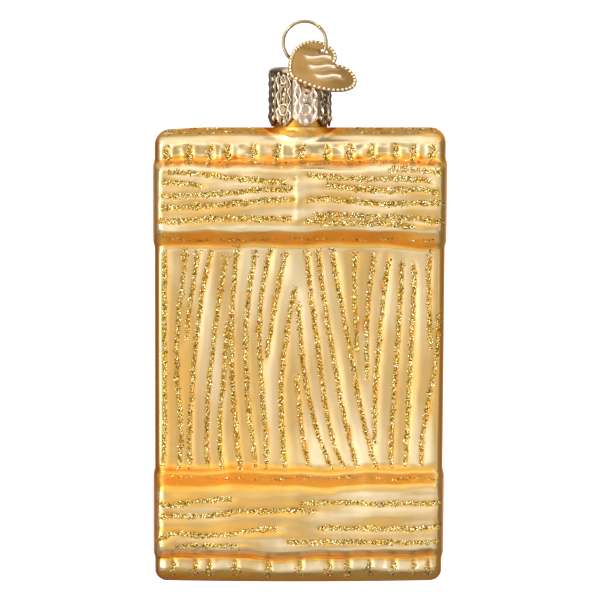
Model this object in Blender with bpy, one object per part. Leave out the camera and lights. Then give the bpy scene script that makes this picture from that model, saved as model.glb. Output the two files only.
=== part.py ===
"""Blown glass sushi ornament: a serving board seen from its feet side, with cap, hanging ring and heart tag.

The origin is the hanging point, inside the top of the ring. +Z is up, +X is to the right seen from the feet
side, and the feet face -Y. Lengths below are in millimetres until they reach the mesh.
"""
import math

import bmesh
import bpy
from mathutils import Matrix, Vector

MM = 0.001

# Clearance between neighbouring pieces
FIT_GAP = 0.30

# Hanging ring
WIRE_DIAMETER = 0.68
RING_INNER_RADIUS = 3.78
RING_OPEN_ANGLE = 22.0
LEG_SPACING = 2.0
LEG_LENGTH = 8.0
LEG_SPREAD = (1.3, 0.5)
LEG_ABOVE_CAP = 0.12
BEND_ABOVE_CAP = 0.42
BEND_OUT = 0.06
RING_STEPS = 34
WIRE_SIDES = 8

# Cap
CAP_RADIUS = 6.15
CAP_HEIGHT = 11.3
CAP_WALL = 0.40
CAP_BELOW_RING_HOLE = 8.45
CAP_OFFSET = (-0.84, 1.50)
CAP_LOBES = 8
CAP_LOBE_TURN = 12.5
CAP_CREASE = 0.24
CAP_CREASE_POWER = 4
CAP_SCALLOP = 1.40
CAP_SCALLOP_POWER = 1.5
CAP_RIM_ROUND = 0.70
CAP_STEPS_PER_LOBE = 6
DRILL_OVER = 1.0
DRILL_UNDER = 0.5

# Glass body, measured from its top edge down and from its middle line out
BODY_WIDTH = 56.8
BODY_HEIGHT = 87.85
BODY_OFFSET = (-0.85, 2.30)
BODY_BELOW_CAP = 0.30
WIDTH_TAPER = 0.9
FOOT_STAND_OUT = 0.28
BODY_LEAN = 0.40
CORNER_TOP = 3.0
CORNER_BOTTOM = 2.3
BOTTOM_BOW = 0.30
TOP_DROP = 0.50
TOP_DROP_REACH = 10.0
BOARD_BACK = 6.0
BOARD_FRONT = 4.0
END_SLOPE_POWER = 1.7
FOOT_RISE = 3.7
SIDE_DRAFT = 0.80
WALL_STEPS = ((0.0, 0.0), (0.30, 0.45), (0.70, 0.83))
FOOT_RAMP = 0.5
PLAIN_COLUMNS = 12
END_STEPS = (0.14, 0.36, 0.68)
FAR_SIDE_STEPS = ((0.25, 0.55), (0.9, 0.9), (1.9, 1.0))
FAR_CORNER_LEAST = 0.6
NECK_BORE_RADIUS = 4.1
NECK_BORE_ROUND = 0.3
NECK_TOP_ROUND = 0.4
NECK_SEGMENTS = 32
NECK_SHRINK = 0.6
NECK_SHOULDER = 1.4
NECK_SQUEEZE = 0.30
NECK_SPREAD = 0.45
NECK_ROOT = 3.4
NECK_FLOOR = 0.4

# Levels down the back, as shares of the body height
STRIP_TOP = 0.034
FEET = (
    {"base": (0.071, 0.258), "face": (0.094, 0.223)},
    {"base": (0.753, 0.942), "face": (0.797, 0.920)},
)

# Wood grain on the panel between the feet: across at the top, the waist and the foot of the panel in
# hundredths of the half width, then where the line starts and ends as shares of the panel height
# Each groove is a V with a rounded shoulder, cut this share of its depth, this share of the way to the next
GROOVE_SHOULDER = 0.35
GROOVE_REACH = 0.34
GRAIN_FADE = 0.06
GRAIN_SPACING = 0.55
GRAIN_WAIST = 0.44
GRAIN_DEPTH = 0.55
GRAIN_HALF = 0.62
GRAIN_LINES = (
    (-90.8, -90.8, -92.2, 0.0, 1.0),
    (-77.5, -83.2, -82.2, 0.0, 1.0),
    (-68.5, -77.0, -78.0, 0.0, 0.42),
    (-59.5, -70.6, -73.5, 0.0, 1.0),
    (-48.6, -57.7, -61.3, 0.0, 1.0),
    (-45.4, -49.7, -51.2, 0.33, 1.0),
    (-41.8, -46.1, -39.3, 0.0, 1.0),
    (-29.5, -36.4, -28.8, 0.0, 1.0),
    (-18.4, -27.7, -21.6, 0.0, 1.0),
    (-8.6, -21.3, -16.0, 0.0, 0.50),
    (-0.4, -10.1, -9.0, 0.18, 1.0),
    (0.6, -1.1, 8.3, 0.56, 1.0),
    (2.0, 1.8, 23.4, 0.25, 1.0),
    (5.0, 12.3, 32.4, 0.0, 1.0),
    (12.3, 21.6, 41.4, 0.0, 1.0),
    (21.6, 34.2, 54.1, 0.0, 1.0),
    (37.5, 39.3, 56.0, 0.0, 0.48),
    (51.2, 45.8, 57.0, 0.0, 0.60),
    (60.9, 54.1, 57.5, 0.0, 0.88),
    (70.3, 67.4, 63.1, 0.0, 1.0),
    (77.5, 76.0, 72.1, 0.0, 1.0),
    (88.6, 85.8, 80.0, 0.0, 0.47),
    (93.0, 92.5, 82.5, 0.30, 1.0),
)
GRAIN_ROWS = 11

# Grain across each foot: depth below the top of the foot's face, in hundredths of the face height, at six
# places from the left end to the right end. Each line fades at the ridge in the middle.
FOOT_STATIONS = (-0.95, -0.50, -0.06, 0.06, 0.50, 0.95)
FOOT_LINE_SPACING = 0.055
FOOT_GROOVE_REACH = 0.36
RIDGE_HALF = 0.8
RIDGE_FADE = 1.6
FOOT_GRAIN_DEPTH = 0.50
FOOT_GRAIN_HALF = 0.48
FOOT_LINES = (
    (
        (5, 15, 22, 10, 17, 20),
        (21, 25, 31, 27, 36, 41),
        (45, 42, 38, 52, 58, 57),
        (64, 61, 52, 76, 76, 84),
        (86, 82, 82, 88, 90, 95),
    ),
    (
        (21, 14, 9, 18, 17, 18),
        (44, 38, 32, 33, 38, 42),
        (84, 76, 62, 60, 62, 58),
        (97, 94, 88, 86, 84, 90),
    ),
)
FOOT_COLUMNS = 18

# Short notches across the two end strips, in hundredths of the half width
NOTCHES_TOP = (-90, -75, -61, -49, -31, -15.5, 1, 18, 34, 49, 65, 77, 90)
NOTCHES_BOTTOM = (-85, -70, -60.5, -43, -20.5, 1, 20.5, 33.5, 48, 64, 78, 88)
NOTCH_DEPTH = 0.40
NOTCH_HALF = 0.60
NOTCH_SPACING = 0.4

# Sushi on the far side, as shares of the body height and of the half width
SUSHI_SINK = 0.8
NIGIRI_LEVELS = (0.17, 0.385, 0.83)
NIGIRI_HALF_LENGTH = 0.68
NIGIRI_HALF_WIDTH = 7.0
NIGIRI_RISE = 9.5
NIGIRI_SQUARENESS = 2.6
NIGIRI_SEGMENTS = 24
MAKI_LEVEL = 0.605
MAKI_PLACES = (-0.58, 0.0, 0.58)
MAKI_RADIUS = 7.0
MAKI_RISE = 8.0
MAKI_SEGMENTS = 18

# Heart tag
TAG_THICKNESS = 0.30
TAG_SLOPE = (0.40, 1.125)
TAG_ROLL = 161.3
TAG_LENGTH = 12.9
TAG_HALF_WIDTH = 7.23
TAG_LOBE_RADIUS = 3.8
TAG_HOLE_RADIUS = 1.05
TAG_HOLE_PLACE = (-1.99, -3.72)
TAG_ON_RING_ANGLE = -23.7
TAG_HOLE_SHIFT = (0.02, -0.02)
TAG_CLEFT_ROUND = 0.12
TAG_SIDE_POWER = 0.8
TAG_LOBE_STEPS = 8
TAG_SIDE_STEPS = 10

# Places that follow from the sizes above
RING_RADIUS = RING_INNER_RADIUS + WIRE_DIAMETER / 2.0
RING_CENTRE_Z = -RING_INNER_RADIUS
CAP_TOP = -CAP_BELOW_RING_HOLE
CAP_BOTTOM = CAP_TOP - CAP_HEIGHT
NECK_TOP = CAP_TOP - CAP_WALL - FIT_GAP
NECK_RADIUS = CAP_RADIUS - CAP_CREASE - CAP_WALL - FIT_GAP
BODY_TOP = CAP_BOTTOM - BODY_BELOW_CAP
HALF_WIDTH = BODY_WIDTH / 2.0
PANEL = (FEET[0]["base"][1], FEET[1]["base"][0])


def clear_scene():
    for thing in list(bpy.data.objects):
        bpy.data.objects.remove(thing, do_unlink=True)


def material(name, colour, roughness, metallic):
    made = bpy.data.materials.new(name)
    made.use_nodes = True
    shader = made.node_tree.nodes["Principled BSDF"]
    shader.inputs["Base Color"].default_value = (*colour, 1.0)
    shader.inputs["Roughness"].default_value = roughness
    shader.inputs["Metallic"].default_value = metallic
    made.diffuse_color = (*colour, 1.0)
    return made


def finish_mesh(name, mesh_builder, made_of=None, smooth_angle=35.0):
    """Turn a bmesh in millimetres into an object in metres."""
    bmesh.ops.recalc_face_normals(mesh_builder, faces=mesh_builder.faces)
    bmesh.ops.scale(mesh_builder, vec=(MM, MM, MM), verts=mesh_builder.verts)
    mesh = bpy.data.meshes.new(name)
    mesh_builder.to_mesh(mesh)
    mesh_builder.free()
    made = bpy.data.objects.new(name, mesh)
    bpy.context.scene.collection.objects.link(made)
    mesh.polygons.foreach_set("use_smooth", [True] * len(mesh.polygons))
    mesh.set_sharp_from_angle(angle=math.radians(smooth_angle))
    if made_of is not None:
        mesh.materials.append(made_of)
    return made


def hide_tool(tool):
    tool.hide_render = True
    tool.display_type = "WIRE"


def combine(target, tool, operation):
    """Add or cut a hidden tool with an exact Boolean."""
    hide_tool(tool)
    step = target.modifiers.new(f"{operation.lower()}_{tool.name}", "BOOLEAN")
    step.operation = operation
    step.solver = "EXACT"
    step.object = tool


def stitch_rows(builder, upper, lower):
    """Fill between two rows that both run left to right, with any number of points in each."""
    i = 0
    j = 0
    while i < len(upper) - 1 or j < len(lower) - 1:
        step_upper = upper[i + 1].co.x if i < len(upper) - 1 else math.inf
        step_lower = lower[j + 1].co.x if j < len(lower) - 1 else math.inf
        if step_upper <= step_lower:
            builder.faces.new((upper[i], upper[i + 1], lower[j]))
            i += 1
        else:
            builder.faces.new((lower[j], upper[i], lower[j + 1]))
            j += 1


def turn_about(centre):
    """The angle of a point about a centre in the XZ plane, from 0 to a full turn."""
    def turn(vertex):
        return math.atan2(vertex.co.z - centre[1], vertex.co.x - centre[0]) % (2.0 * math.pi)
    return turn


def stitch_loops(builder, outer, inner, centre):
    """Fill between two closed loops around a centre, with any number of points in each."""
    turn = turn_about(centre)
    outer = sorted(outer, key=turn)
    inner = sorted(inner, key=turn)
    count_outer = len(outer)
    count_inner = len(inner)
    i = 0
    j = 0
    while i < count_outer or j < count_inner:
        next_outer = turn(outer[(i + 1) % count_outer]) + (2.0 * math.pi if i + 1 >= count_outer else 0.0)
        next_inner = turn(inner[(j + 1) % count_inner]) + (2.0 * math.pi if j + 1 >= count_inner else 0.0)
        here_outer = outer[i % count_outer]
        here_inner = inner[j % count_inner]
        if j >= count_inner or (i < count_outer and next_outer <= next_inner):
            builder.faces.new((here_outer, outer[(i + 1) % count_outer], here_inner))
            i += 1
        else:
            builder.faces.new((here_inner, here_outer, inner[(j + 1) % count_inner]))
            j += 1


def revolve(builder, profile, centre, segments, radius_change=None, height_change=None):
    """Spin a closed list of (radius, z) points. A radius of zero becomes one point on the axis."""
    rings = []
    for radius, z in profile:
        if radius == 0.0:
            rings.append([builder.verts.new((centre[0], centre[1], z))])
            continue
        ring = []
        for k in range(segments):
            angle = 2.0 * math.pi * k / segments
            r = radius + (radius_change(angle, radius, z) if radius_change else 0.0)
            height = z + (height_change(angle, radius, z) if height_change else 0.0)
            x = centre[0] + r * math.cos(angle)
            y = centre[1] + r * math.sin(angle)
            ring.append(builder.verts.new((x, y, height)))
        rings.append(ring)
    for first, second in zip(rings, rings[1:]):
        for k in range(segments):
            a = first[k % len(first)]
            b = first[(k + 1) % len(first)]
            c = second[(k + 1) % len(second)]
            d = second[k % len(second)]
            if len(first) == 1:
                builder.faces.new((a, c, d))
            elif len(second) == 1:
                builder.faces.new((a, b, c))
            else:
                builder.faces.new((a, b, c, d))


def side_at(depth):
    """Half width between the corners: the feet stand out a little and the body narrows downwards."""
    share = depth / BODY_HEIGHT
    reach = max(min(share - foot["base"][0], foot["base"][1] - share) for foot in FEET) * BODY_HEIGHT
    stand_out = min(max(reach + FOOT_RAMP, 0.0), 1.0)
    return HALF_WIDTH - 0.5 * WIDTH_TAPER * share - FOOT_STAND_OUT * (1.0 - stand_out)


def middle_at(depth):
    """The middle line, which leans a little to the left downwards."""
    return BODY_OFFSET[0] - BODY_LEAN * depth / BODY_HEIGHT


def half_width_at(depth):
    """Half width of the outline at a distance below the top edge, with rounded corners."""
    half = side_at(depth)
    for radius, reach in ((CORNER_TOP, depth), (CORNER_BOTTOM, BODY_HEIGHT - depth)):
        if reach < radius:
            half -= radius - math.sqrt(max(radius * radius - (radius - reach) ** 2, 0.0))
    return half


def end_round(depth):
    """How far the back surface has risen at a distance from the nearer end, from 0 to 1."""
    reach = min(depth, BODY_HEIGHT - depth) / (STRIP_TOP * BODY_HEIGHT)
    if reach >= 1.0:
        return 1.0
    return 1.0 - (1.0 - reach) ** END_SLOPE_POWER


def back_row(builder, depth, rise, inner):
    """One row over the back: side wall, inner points (x, depth, rise), side wall."""
    half = half_width_at(depth)
    points = []
    for inset, share in WALL_STEPS:
        points.append((-half + inset * SIDE_DRAFT, depth, share * rise))
    limit = half - SIDE_DRAFT
    for x, point_depth, point_rise in inner:
        points.append((min(max(x, -limit), limit), point_depth, point_rise))
    for inset, share in reversed(WALL_STEPS):
        points.append((half - inset * SIDE_DRAFT, depth, share * rise))
    return [place_back(builder, *point) for point in points]


def end_lift(x, depth):
    """How far a point sits above its level: the bottom edge bows, and the top edge drops at its left end."""
    share = depth / BODY_HEIGHT
    bow = BOTTOM_BOW * (x / HALF_WIDTH) ** 2 * share ** 4
    outward = max((TOP_DROP_REACH - HALF_WIDTH - x) / TOP_DROP_REACH, 0.0)
    return bow - TOP_DROP * outward * (1.0 - share) ** 8


def place_back(builder, x, depth, rise):
    """A point of the back, from its distance off the middle line, below the top and off the parting plane."""
    height = BODY_TOP - depth + end_lift(x, depth)
    return builder.verts.new((middle_at(depth) + x, BODY_OFFSET[1] - rise, height))


def even_inner(depth, rise, count):
    limit = half_width_at(depth) - SIDE_DRAFT
    return [(limit * (2.0 * k / (count - 1) - 1.0), depth, rise) for k in range(count)]


def grooved_inner(depth, rise, centres, strengths, cut, half):
    """Points across a row with a rounded groove at each centre and a crest between each two."""
    limit = half_width_at(depth) - SIDE_DRAFT
    points = [(-limit, depth, rise)]
    edges = [-limit] + list(centres) + [limit]
    for k, (centre, strength) in enumerate(zip(centres, strengths)):
        left = centre - edges[k]
        right = edges[k + 2] - centre
        lip_left = min(half, GROOVE_REACH * left)
        lip_right = min(half, GROOVE_REACH * right)
        shoulder = rise - GROOVE_SHOULDER * cut * strength
        points.append((centre - lip_left, depth, shoulder))
        points.append((centre, depth, rise - cut * strength))
        points.append((centre + lip_right, depth, shoulder))
        crest = 0.5 * (centre + edges[k + 2])
        if k < len(centres) - 1:
            points.append((crest, depth, rise))
    points.append((limit, depth, rise))
    return points


def keep_apart(values, gap, low, high):
    """Push neighbours apart so that each is at least a gap from the last, inside the two limits."""
    kept = list(values)
    for k in range(len(kept)):
        floor = (kept[k - 1] if k else low) + gap
        kept[k] = max(kept[k], floor)
    for k in reversed(range(len(kept))):
        ceiling = (kept[k + 1] if k < len(kept) - 1 else high) - gap
        kept[k] = min(kept[k], ceiling)
    return kept


def grain_across(share):
    """Places and strengths of the grain lines at a share of the panel height."""
    centres = []
    strengths = []
    waist = GRAIN_WAIST
    for top, middle, foot, start, end in GRAIN_LINES:
        bend = ((foot - top) * waist - (middle - top)) / (waist - waist * waist)
        slope = foot - top - bend
        centres.append((top + slope * share + bend * share * share) * HALF_WIDTH / 100.0)
        fade_in = 1.0 if start == 0.0 else min(max((share - start) / GRAIN_FADE + 0.5, 0.0), 1.0)
        fade_out = 1.0 if end == 1.0 else min(max((end - share) / GRAIN_FADE + 0.5, 0.0), 1.0)
        strengths.append(fade_in * fade_out)
    return centres, strengths


def foot_line_depth(line, share):
    """Depth of a foot's grain line at a share of the half width, straight between its stations."""
    share = min(max(share, FOOT_STATIONS[0]), FOOT_STATIONS[-1])
    for k in range(len(FOOT_STATIONS) - 1):
        low = FOOT_STATIONS[k]
        high = FOOT_STATIONS[k + 1]
        if share <= high:
            return line[k] + (line[k + 1] - line[k]) * (share - low) / (high - low)
    return line[-1]


def add_strip(rows, builder, levels, notches):
    """Rows of an end strip with short notches across it."""
    for level in levels:
        depth = level * BODY_HEIGHT
        centres = [place * HALF_WIDTH / 100.0 for place in notches]
        limit = half_width_at(depth) - SIDE_DRAFT
        centres = keep_apart(centres, NOTCH_SPACING, -limit, limit)
        inner = grooved_inner(depth, BOARD_BACK, centres, [1.0] * len(centres), NOTCH_DEPTH, NOTCH_HALF)
        rows.append(back_row(builder, depth, BOARD_BACK, inner))


def add_plain(rows, builder, level, rise, count=PLAIN_COLUMNS):
    depth = level * BODY_HEIGHT
    rows.append(back_row(builder, depth, rise, even_inner(depth, rise, count)))


def add_foot(rows, builder, foot, lines):
    """Rows over one raised foot: sloped side, grooved face, sloped side."""
    top = BOARD_BACK + FOOT_RISE
    base_start, base_end = foot["base"]
    face_start, face_end = foot["face"]
    for share, risen in ((0.0, -0.06), (0.55, 0.62), (0.85, 0.92)):
        level = base_start + (face_start - base_start) * share
        add_plain(rows, builder, level, BOARD_BACK + risen * FOOT_RISE, FOOT_COLUMNS)
    face = (face_end - face_start) * BODY_HEIGHT
    start = face_start * BODY_HEIGHT
    limit = half_width_at(start) - SIDE_DRAFT
    columns = [limit * (2.0 * k / (FOOT_COLUMNS - 1) - 1.0) for k in range(FOOT_COLUMNS)]
    bands = []
    for x in columns:
        share = x / HALF_WIDTH
        centres = [start + face * foot_line_depth(line, share) / 100.0 for line in lines]
        centres = keep_apart(centres, FOOT_LINE_SPACING * face, start, start + face)
        fade = min(max((abs(x) - RIDGE_HALF) / RIDGE_FADE, 0.0), 1.0)
        cut = FOOT_GRAIN_DEPTH * fade
        band = [(start, top)]
        edges = [start] + centres + [start + face]
        for k, centre in enumerate(centres):
            lip_up = min(FOOT_GRAIN_HALF, FOOT_GROOVE_REACH * (centre - edges[k]))
            lip_down = min(FOOT_GRAIN_HALF, FOOT_GROOVE_REACH * (edges[k + 2] - centre))
            band.append((centre - lip_up, top - GROOVE_SHOULDER * cut))
            band.append((centre, top - cut))
            band.append((centre + lip_down, top - GROOVE_SHOULDER * cut))
            if k < len(centres) - 1:
                band.append((0.5 * (centre + edges[k + 2]), top))
        band.append((start + face, top))
        bands.append(band)
    for r in range(len(bands[0])):
        inner = [(x, bands[c][r][0], bands[c][r][1]) for c, x in enumerate(columns)]
        side_depth = start + face * r / (len(bands[0]) - 1.0)
        rows.append(back_row(builder, side_depth, top, inner))
    for share, risen in ((0.15, 0.92), (0.45, 0.62), (1.0, -0.06)):
        level = face_end + (base_end - face_end) * share
        add_plain(rows, builder, level, BOARD_BACK + risen * FOOT_RISE, FOOT_COLUMNS)


def add_panel(rows, builder):
    """Rows of the grained panel between the feet."""
    low, high = PANEL
    for r in range(GRAIN_ROWS):
        share = (r + 0.2) / (GRAIN_ROWS - 0.6)
        depth = (low + (high - low) * share) * BODY_HEIGHT
        limit = half_width_at(depth) - SIDE_DRAFT
        centres, strengths = grain_across(share)
        centres = keep_apart(centres, GRAIN_SPACING, -limit, limit)
        inner = grooved_inner(depth, BOARD_BACK, centres, strengths, GRAIN_DEPTH, GRAIN_HALF)
        rows.append(back_row(builder, depth, BOARD_BACK, inner))


def outline_loop(builder, inset, y):
    """A loop that follows the outline, set in from it, for the plain far side."""
    top = inset
    bottom = BODY_HEIGHT - inset
    points = []
    for side in (-1.0, 1.0):
        for end, depth, corner in ((1.0, top, CORNER_TOP), (-1.0, bottom, CORNER_BOTTOM)):
            radius = max(corner - inset, FAR_CORNER_LEAST)
            for step in range(4):
                angle = math.radians(30.0 * step)
                px = side * (side_at(depth) - inset - radius * (1.0 - math.cos(angle)))
                pz = depth + end * radius * (1.0 - math.sin(angle))
                points.append((px, pz))
    loop = []
    for px, pz in points:
        height = BODY_TOP - pz + end_lift(px, pz)
        loop.append(builder.verts.new((middle_at(pz) + px, BODY_OFFSET[1] + y, height)))
    return loop


def end_row(builder, depth):
    """The row along one end of the board, on the parting plane."""
    half = half_width_at(depth)
    steps = PLAIN_COLUMNS - 1.0
    edge = [(half * (2.0 * k / steps - 1.0), depth, 0.0) for k in range(PLAIN_COLUMNS)]
    return [place_back(builder, *point) for point in edge]


def board_mesh():
    """The glass board as one closed skin: rows over the back, loops over the plain far side."""
    builder = bmesh.new()
    rows = [end_row(builder, 0.0)]
    for share in END_STEPS:
        level = STRIP_TOP * share
        add_plain(rows, builder, level, BOARD_BACK * end_round(level * BODY_HEIGHT))
    base = FEET[0]["base"][0]
    levels = [STRIP_TOP + (base - STRIP_TOP) * share for share in (0.05, 0.5, 0.85)]
    add_strip(rows, builder, levels, NOTCHES_TOP)
    add_foot(rows, builder, FEET[0], FOOT_LINES[0])
    add_panel(rows, builder)
    add_foot(rows, builder, FEET[1], FOOT_LINES[1])
    base = FEET[1]["base"][1]
    levels = [base + (1.0 - STRIP_TOP - base) * share for share in (0.15, 0.55, 0.95)]
    add_strip(rows, builder, levels, NOTCHES_BOTTOM)
    for share in reversed(END_STEPS):
        level = 1.0 - STRIP_TOP * share
        add_plain(rows, builder, level, BOARD_BACK * end_round(level * BODY_HEIGHT))
    rows.append(end_row(builder, BODY_HEIGHT))
    for upper, lower in zip(rows, rows[1:]):
        stitch_rows(builder, upper, lower)

    right_side = [row[-1] for row in rows[1:-1]]
    left_side = [row[0] for row in rows[1:-1]]
    parting = list(rows[0]) + right_side + list(rows[-1]) + left_side
    centre = (BODY_OFFSET[0], BODY_TOP - 0.5 * BODY_HEIGHT)
    loops = [outline_loop(builder, inset, y * BOARD_FRONT) for inset, y in FAR_SIDE_STEPS]
    stitch_loops(builder, parting, loops[0], centre)
    stitch_loops(builder, loops[0], loops[1], centre)
    stitch_loops(builder, loops[1], loops[2], centre)
    builder.faces.new(sorted(loops[2], key=turn_about(centre)))
    return builder


def form_mesh(centre_x, centre_z, half_x, half_z, levels, power, segments):
    """A moulded form on the far side: superellipse rings at (height, size), closed by a point at the top."""
    builder = bmesh.new()
    base_y = BODY_OFFSET[1] + BOARD_FRONT
    rings = []
    for height, size in levels:
        ring = []
        for k in range(segments):
            angle = 2.0 * math.pi * (k + 0.5) / segments
            c = math.cos(angle)
            s = math.sin(angle)
            x = centre_x + half_x * size * math.copysign(abs(c) ** (2.0 / power), c)
            z = centre_z + half_z * size * math.copysign(abs(s) ** (2.0 / power), s)
            ring.append(builder.verts.new((x, base_y + height, z)))
        rings.append(ring)
    builder.faces.new(rings[0])
    for first, second in zip(rings, rings[1:]):
        for k in range(segments):
            follow = (k + 1) % segments
            builder.faces.new((first[k], first[follow], second[follow], second[k]))
    builder.faces.new(rings[-1])
    return builder


def nigiri(name, level):
    """A rice block with a slice of topping over it."""
    rise = NIGIRI_RISE
    levels = (
        (-SUSHI_SINK, 0.95),
        (0.30 * rise, 1.0),
        (0.50 * rise, 0.93),
        (0.55 * rise, 1.02),
        (0.80 * rise, 0.98),
        (0.95 * rise, 0.82),
        (1.00 * rise, 0.55),
    )
    centre_z = BODY_TOP - level * BODY_HEIGHT
    middle = middle_at(level * BODY_HEIGHT)
    half_x = NIGIRI_HALF_LENGTH * HALF_WIDTH
    form = form_mesh(middle, centre_z, half_x, NIGIRI_HALF_WIDTH, levels, NIGIRI_SQUARENESS, NIGIRI_SEGMENTS)
    return finish_mesh(name, form)


def maki(name, place):
    """A short roll seen on end, with its filling a little below the rim."""
    rise = MAKI_RISE
    levels = (
        (-SUSHI_SINK, 1.0),
        (0.85 * rise, 1.0),
        (1.00 * rise, 0.92),
        (1.00 * rise, 0.80),
        (0.93 * rise, 0.74),
        (0.93 * rise, 0.40),
        (1.00 * rise, 0.30),
    )
    centre_x = middle_at(MAKI_LEVEL * BODY_HEIGHT) + place * HALF_WIDTH
    centre_z = BODY_TOP - MAKI_LEVEL * BODY_HEIGHT
    form = form_mesh(centre_x, centre_z, MAKI_RADIUS, MAKI_RADIUS, levels, 2.0, MAKI_SEGMENTS)
    return finish_mesh(name, form)


def shape_shoulder(builder):
    """Turn the round foot of the neck into a wide oval shoulder along the top edge of the board."""
    start = CAP_BOTTOM + 0.5 * CAP_SCALLOP
    end = CAP_BOTTOM - NECK_SHOULDER
    for vertex in builder.verts:
        flat = min(max((start - vertex.co.z) / (start - end), 0.0), 1.0)
        wide = min(max((CAP_BOTTOM - vertex.co.z) / NECK_SHOULDER, 0.0), 1.0) ** 1.5
        centre_y = CAP_OFFSET[1] + (BODY_OFFSET[1] - CAP_OFFSET[1]) * flat
        vertex.co.x = CAP_OFFSET[0] + (vertex.co.x - CAP_OFFSET[0]) * (1.0 + NECK_SPREAD * wide)
        vertex.co.y = centre_y + (vertex.co.y - CAP_OFFSET[1]) * (1.0 - NECK_SQUEEZE * flat)


def neck_mesh():
    """The glass neck with its blind bore, and the shoulder where it runs into the board."""
    builder = bmesh.new()
    floor = CAP_BOTTOM + NECK_FLOOR
    profile = (
        (0.0, floor),
        (NECK_BORE_RADIUS, floor),
        (NECK_BORE_RADIUS, NECK_TOP - NECK_BORE_ROUND),
        (NECK_BORE_RADIUS + NECK_BORE_ROUND, NECK_TOP),
        (NECK_RADIUS - NECK_TOP_ROUND, NECK_TOP),
        (NECK_RADIUS, NECK_TOP - NECK_TOP_ROUND),
        (NECK_RADIUS, CAP_BOTTOM + 0.5 * CAP_SCALLOP),
        (NECK_RADIUS, CAP_BOTTOM),
        (NECK_RADIUS, CAP_BOTTOM - 0.35 * NECK_SHOULDER),
        (NECK_RADIUS, CAP_BOTTOM - 0.7 * NECK_SHOULDER),
        (NECK_RADIUS, CAP_BOTTOM - NECK_SHOULDER),
        (NECK_RADIUS - NECK_SHRINK, CAP_BOTTOM - NECK_ROOT),
        (0.0, CAP_BOTTOM - NECK_ROOT),
    )
    revolve(builder, profile, CAP_OFFSET, NECK_SEGMENTS)
    shape_shoulder(builder)
    return builder


def build_body(made_of):
    body = finish_mesh("glass_body", board_mesh(), made_of)
    combine(body, finish_mesh("tool_neck", neck_mesh()), "UNION")
    for k, level in enumerate(NIGIRI_LEVELS):
        combine(body, nigiri(f"tool_nigiri_{k + 1}", level), "UNION")
    for k, place in enumerate(MAKI_PLACES):
        combine(body, maki(f"tool_maki_{k + 1}", place), "UNION")
    return body


def lobe_phase(angle):
    """0 in the middle of a lobe of the cap, 1 at the crease between two lobes."""
    turned = (angle - math.radians(CAP_LOBE_TURN) + math.radians(90.0)) * CAP_LOBES / (2.0 * math.pi)
    return abs(2.0 * (turned - math.floor(turned + 0.5)))


def build_cap(made_of):
    """A thin stamped shell: rounded top rim, creased wall, scalloped lower edge."""
    def crease(angle, radius, z):
        if z > CAP_TOP - CAP_RIM_ROUND - 0.1:
            return 0.0
        return -CAP_CREASE * lobe_phase(angle) ** CAP_CREASE_POWER

    def scallop(angle, radius, z):
        if z > CAP_BOTTOM + 0.5:
            return 0.0
        return CAP_SCALLOP * lobe_phase(angle) ** CAP_SCALLOP_POWER

    inner = CAP_RADIUS - CAP_WALL
    ceiling = CAP_TOP - CAP_WALL
    profile = (
        (0.0, CAP_TOP),
        (CAP_RADIUS - 1.5 * CAP_RIM_ROUND, CAP_TOP),
        (CAP_RADIUS - 0.5 * CAP_RIM_ROUND, CAP_TOP - 0.25 * CAP_RIM_ROUND),
        (CAP_RADIUS - 0.1 * CAP_RIM_ROUND, CAP_TOP - CAP_RIM_ROUND),
        (CAP_RADIUS, CAP_TOP - 2.0 * CAP_RIM_ROUND),
        (CAP_RADIUS, CAP_BOTTOM),
        (inner, CAP_BOTTOM),
        (inner, CAP_TOP - 2.0 * CAP_RIM_ROUND),
        (inner - 0.1 * CAP_RIM_ROUND, ceiling - 0.6 * CAP_RIM_ROUND),
        (inner - CAP_RIM_ROUND, ceiling),
        (0.0, ceiling),
    )
    builder = bmesh.new()
    revolve(builder, profile, CAP_OFFSET, CAP_STEPS_PER_LOBE * CAP_LOBES, crease, scallop)
    cap = finish_mesh("cap", builder, made_of)
    for side, name in ((-1.0, "tool_hole_left"), (1.0, "tool_hole_right")):
        builder = bmesh.new()
        hole = WIRE_DIAMETER / 2.0 + FIT_GAP
        over = CAP_TOP + DRILL_OVER
        under = ceiling - DRILL_UNDER
        profile = ((0.0, over), (hole, over), (hole, under), (0.0, under))
        revolve(builder, profile, (side * LEG_SPACING / 2.0, 0.0), 12)
        combine(cap, finish_mesh(name, builder), "DIFFERENCE")
    return cap


def ring_path():
    """Centre line of the wire: left leg, round the ring, right leg."""
    def leg(side, spread):
        x = LEG_SPACING / 2.0
        return [
            (side * (x + spread), NECK_TOP - LEG_LENGTH),
            (side * (x + 0.25 * spread), NECK_TOP - 0.35 * LEG_LENGTH),
            (side * x, NECK_TOP),
            (side * x, CAP_TOP + LEG_ABOVE_CAP),
        ]

    def bend(side, last):
        x = LEG_SPACING / 2.0
        low = CAP_TOP + BEND_ABOVE_CAP
        return [
            (side * (x + BEND_OUT), low),
            (side * (0.55 * x + 0.45 * abs(last[0])), 0.38 * low + 0.62 * last[1]),
        ]

    def on_ring(degrees):
        angle = math.radians(degrees)
        return (RING_RADIUS * math.cos(angle), RING_CENTRE_Z + RING_RADIUS * math.sin(angle))

    start = 270.0 - RING_OPEN_ANGLE
    end = -90.0 + RING_OPEN_ANGLE
    arc = [on_ring(start + (end - start) * k / RING_STEPS) for k in range(RING_STEPS + 1)]
    left = leg(-1.0, LEG_SPREAD[0]) + bend(-1.0, arc[0])
    right = leg(1.0, LEG_SPREAD[1]) + bend(1.0, arc[-1])
    return left + arc + list(reversed(right))


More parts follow.
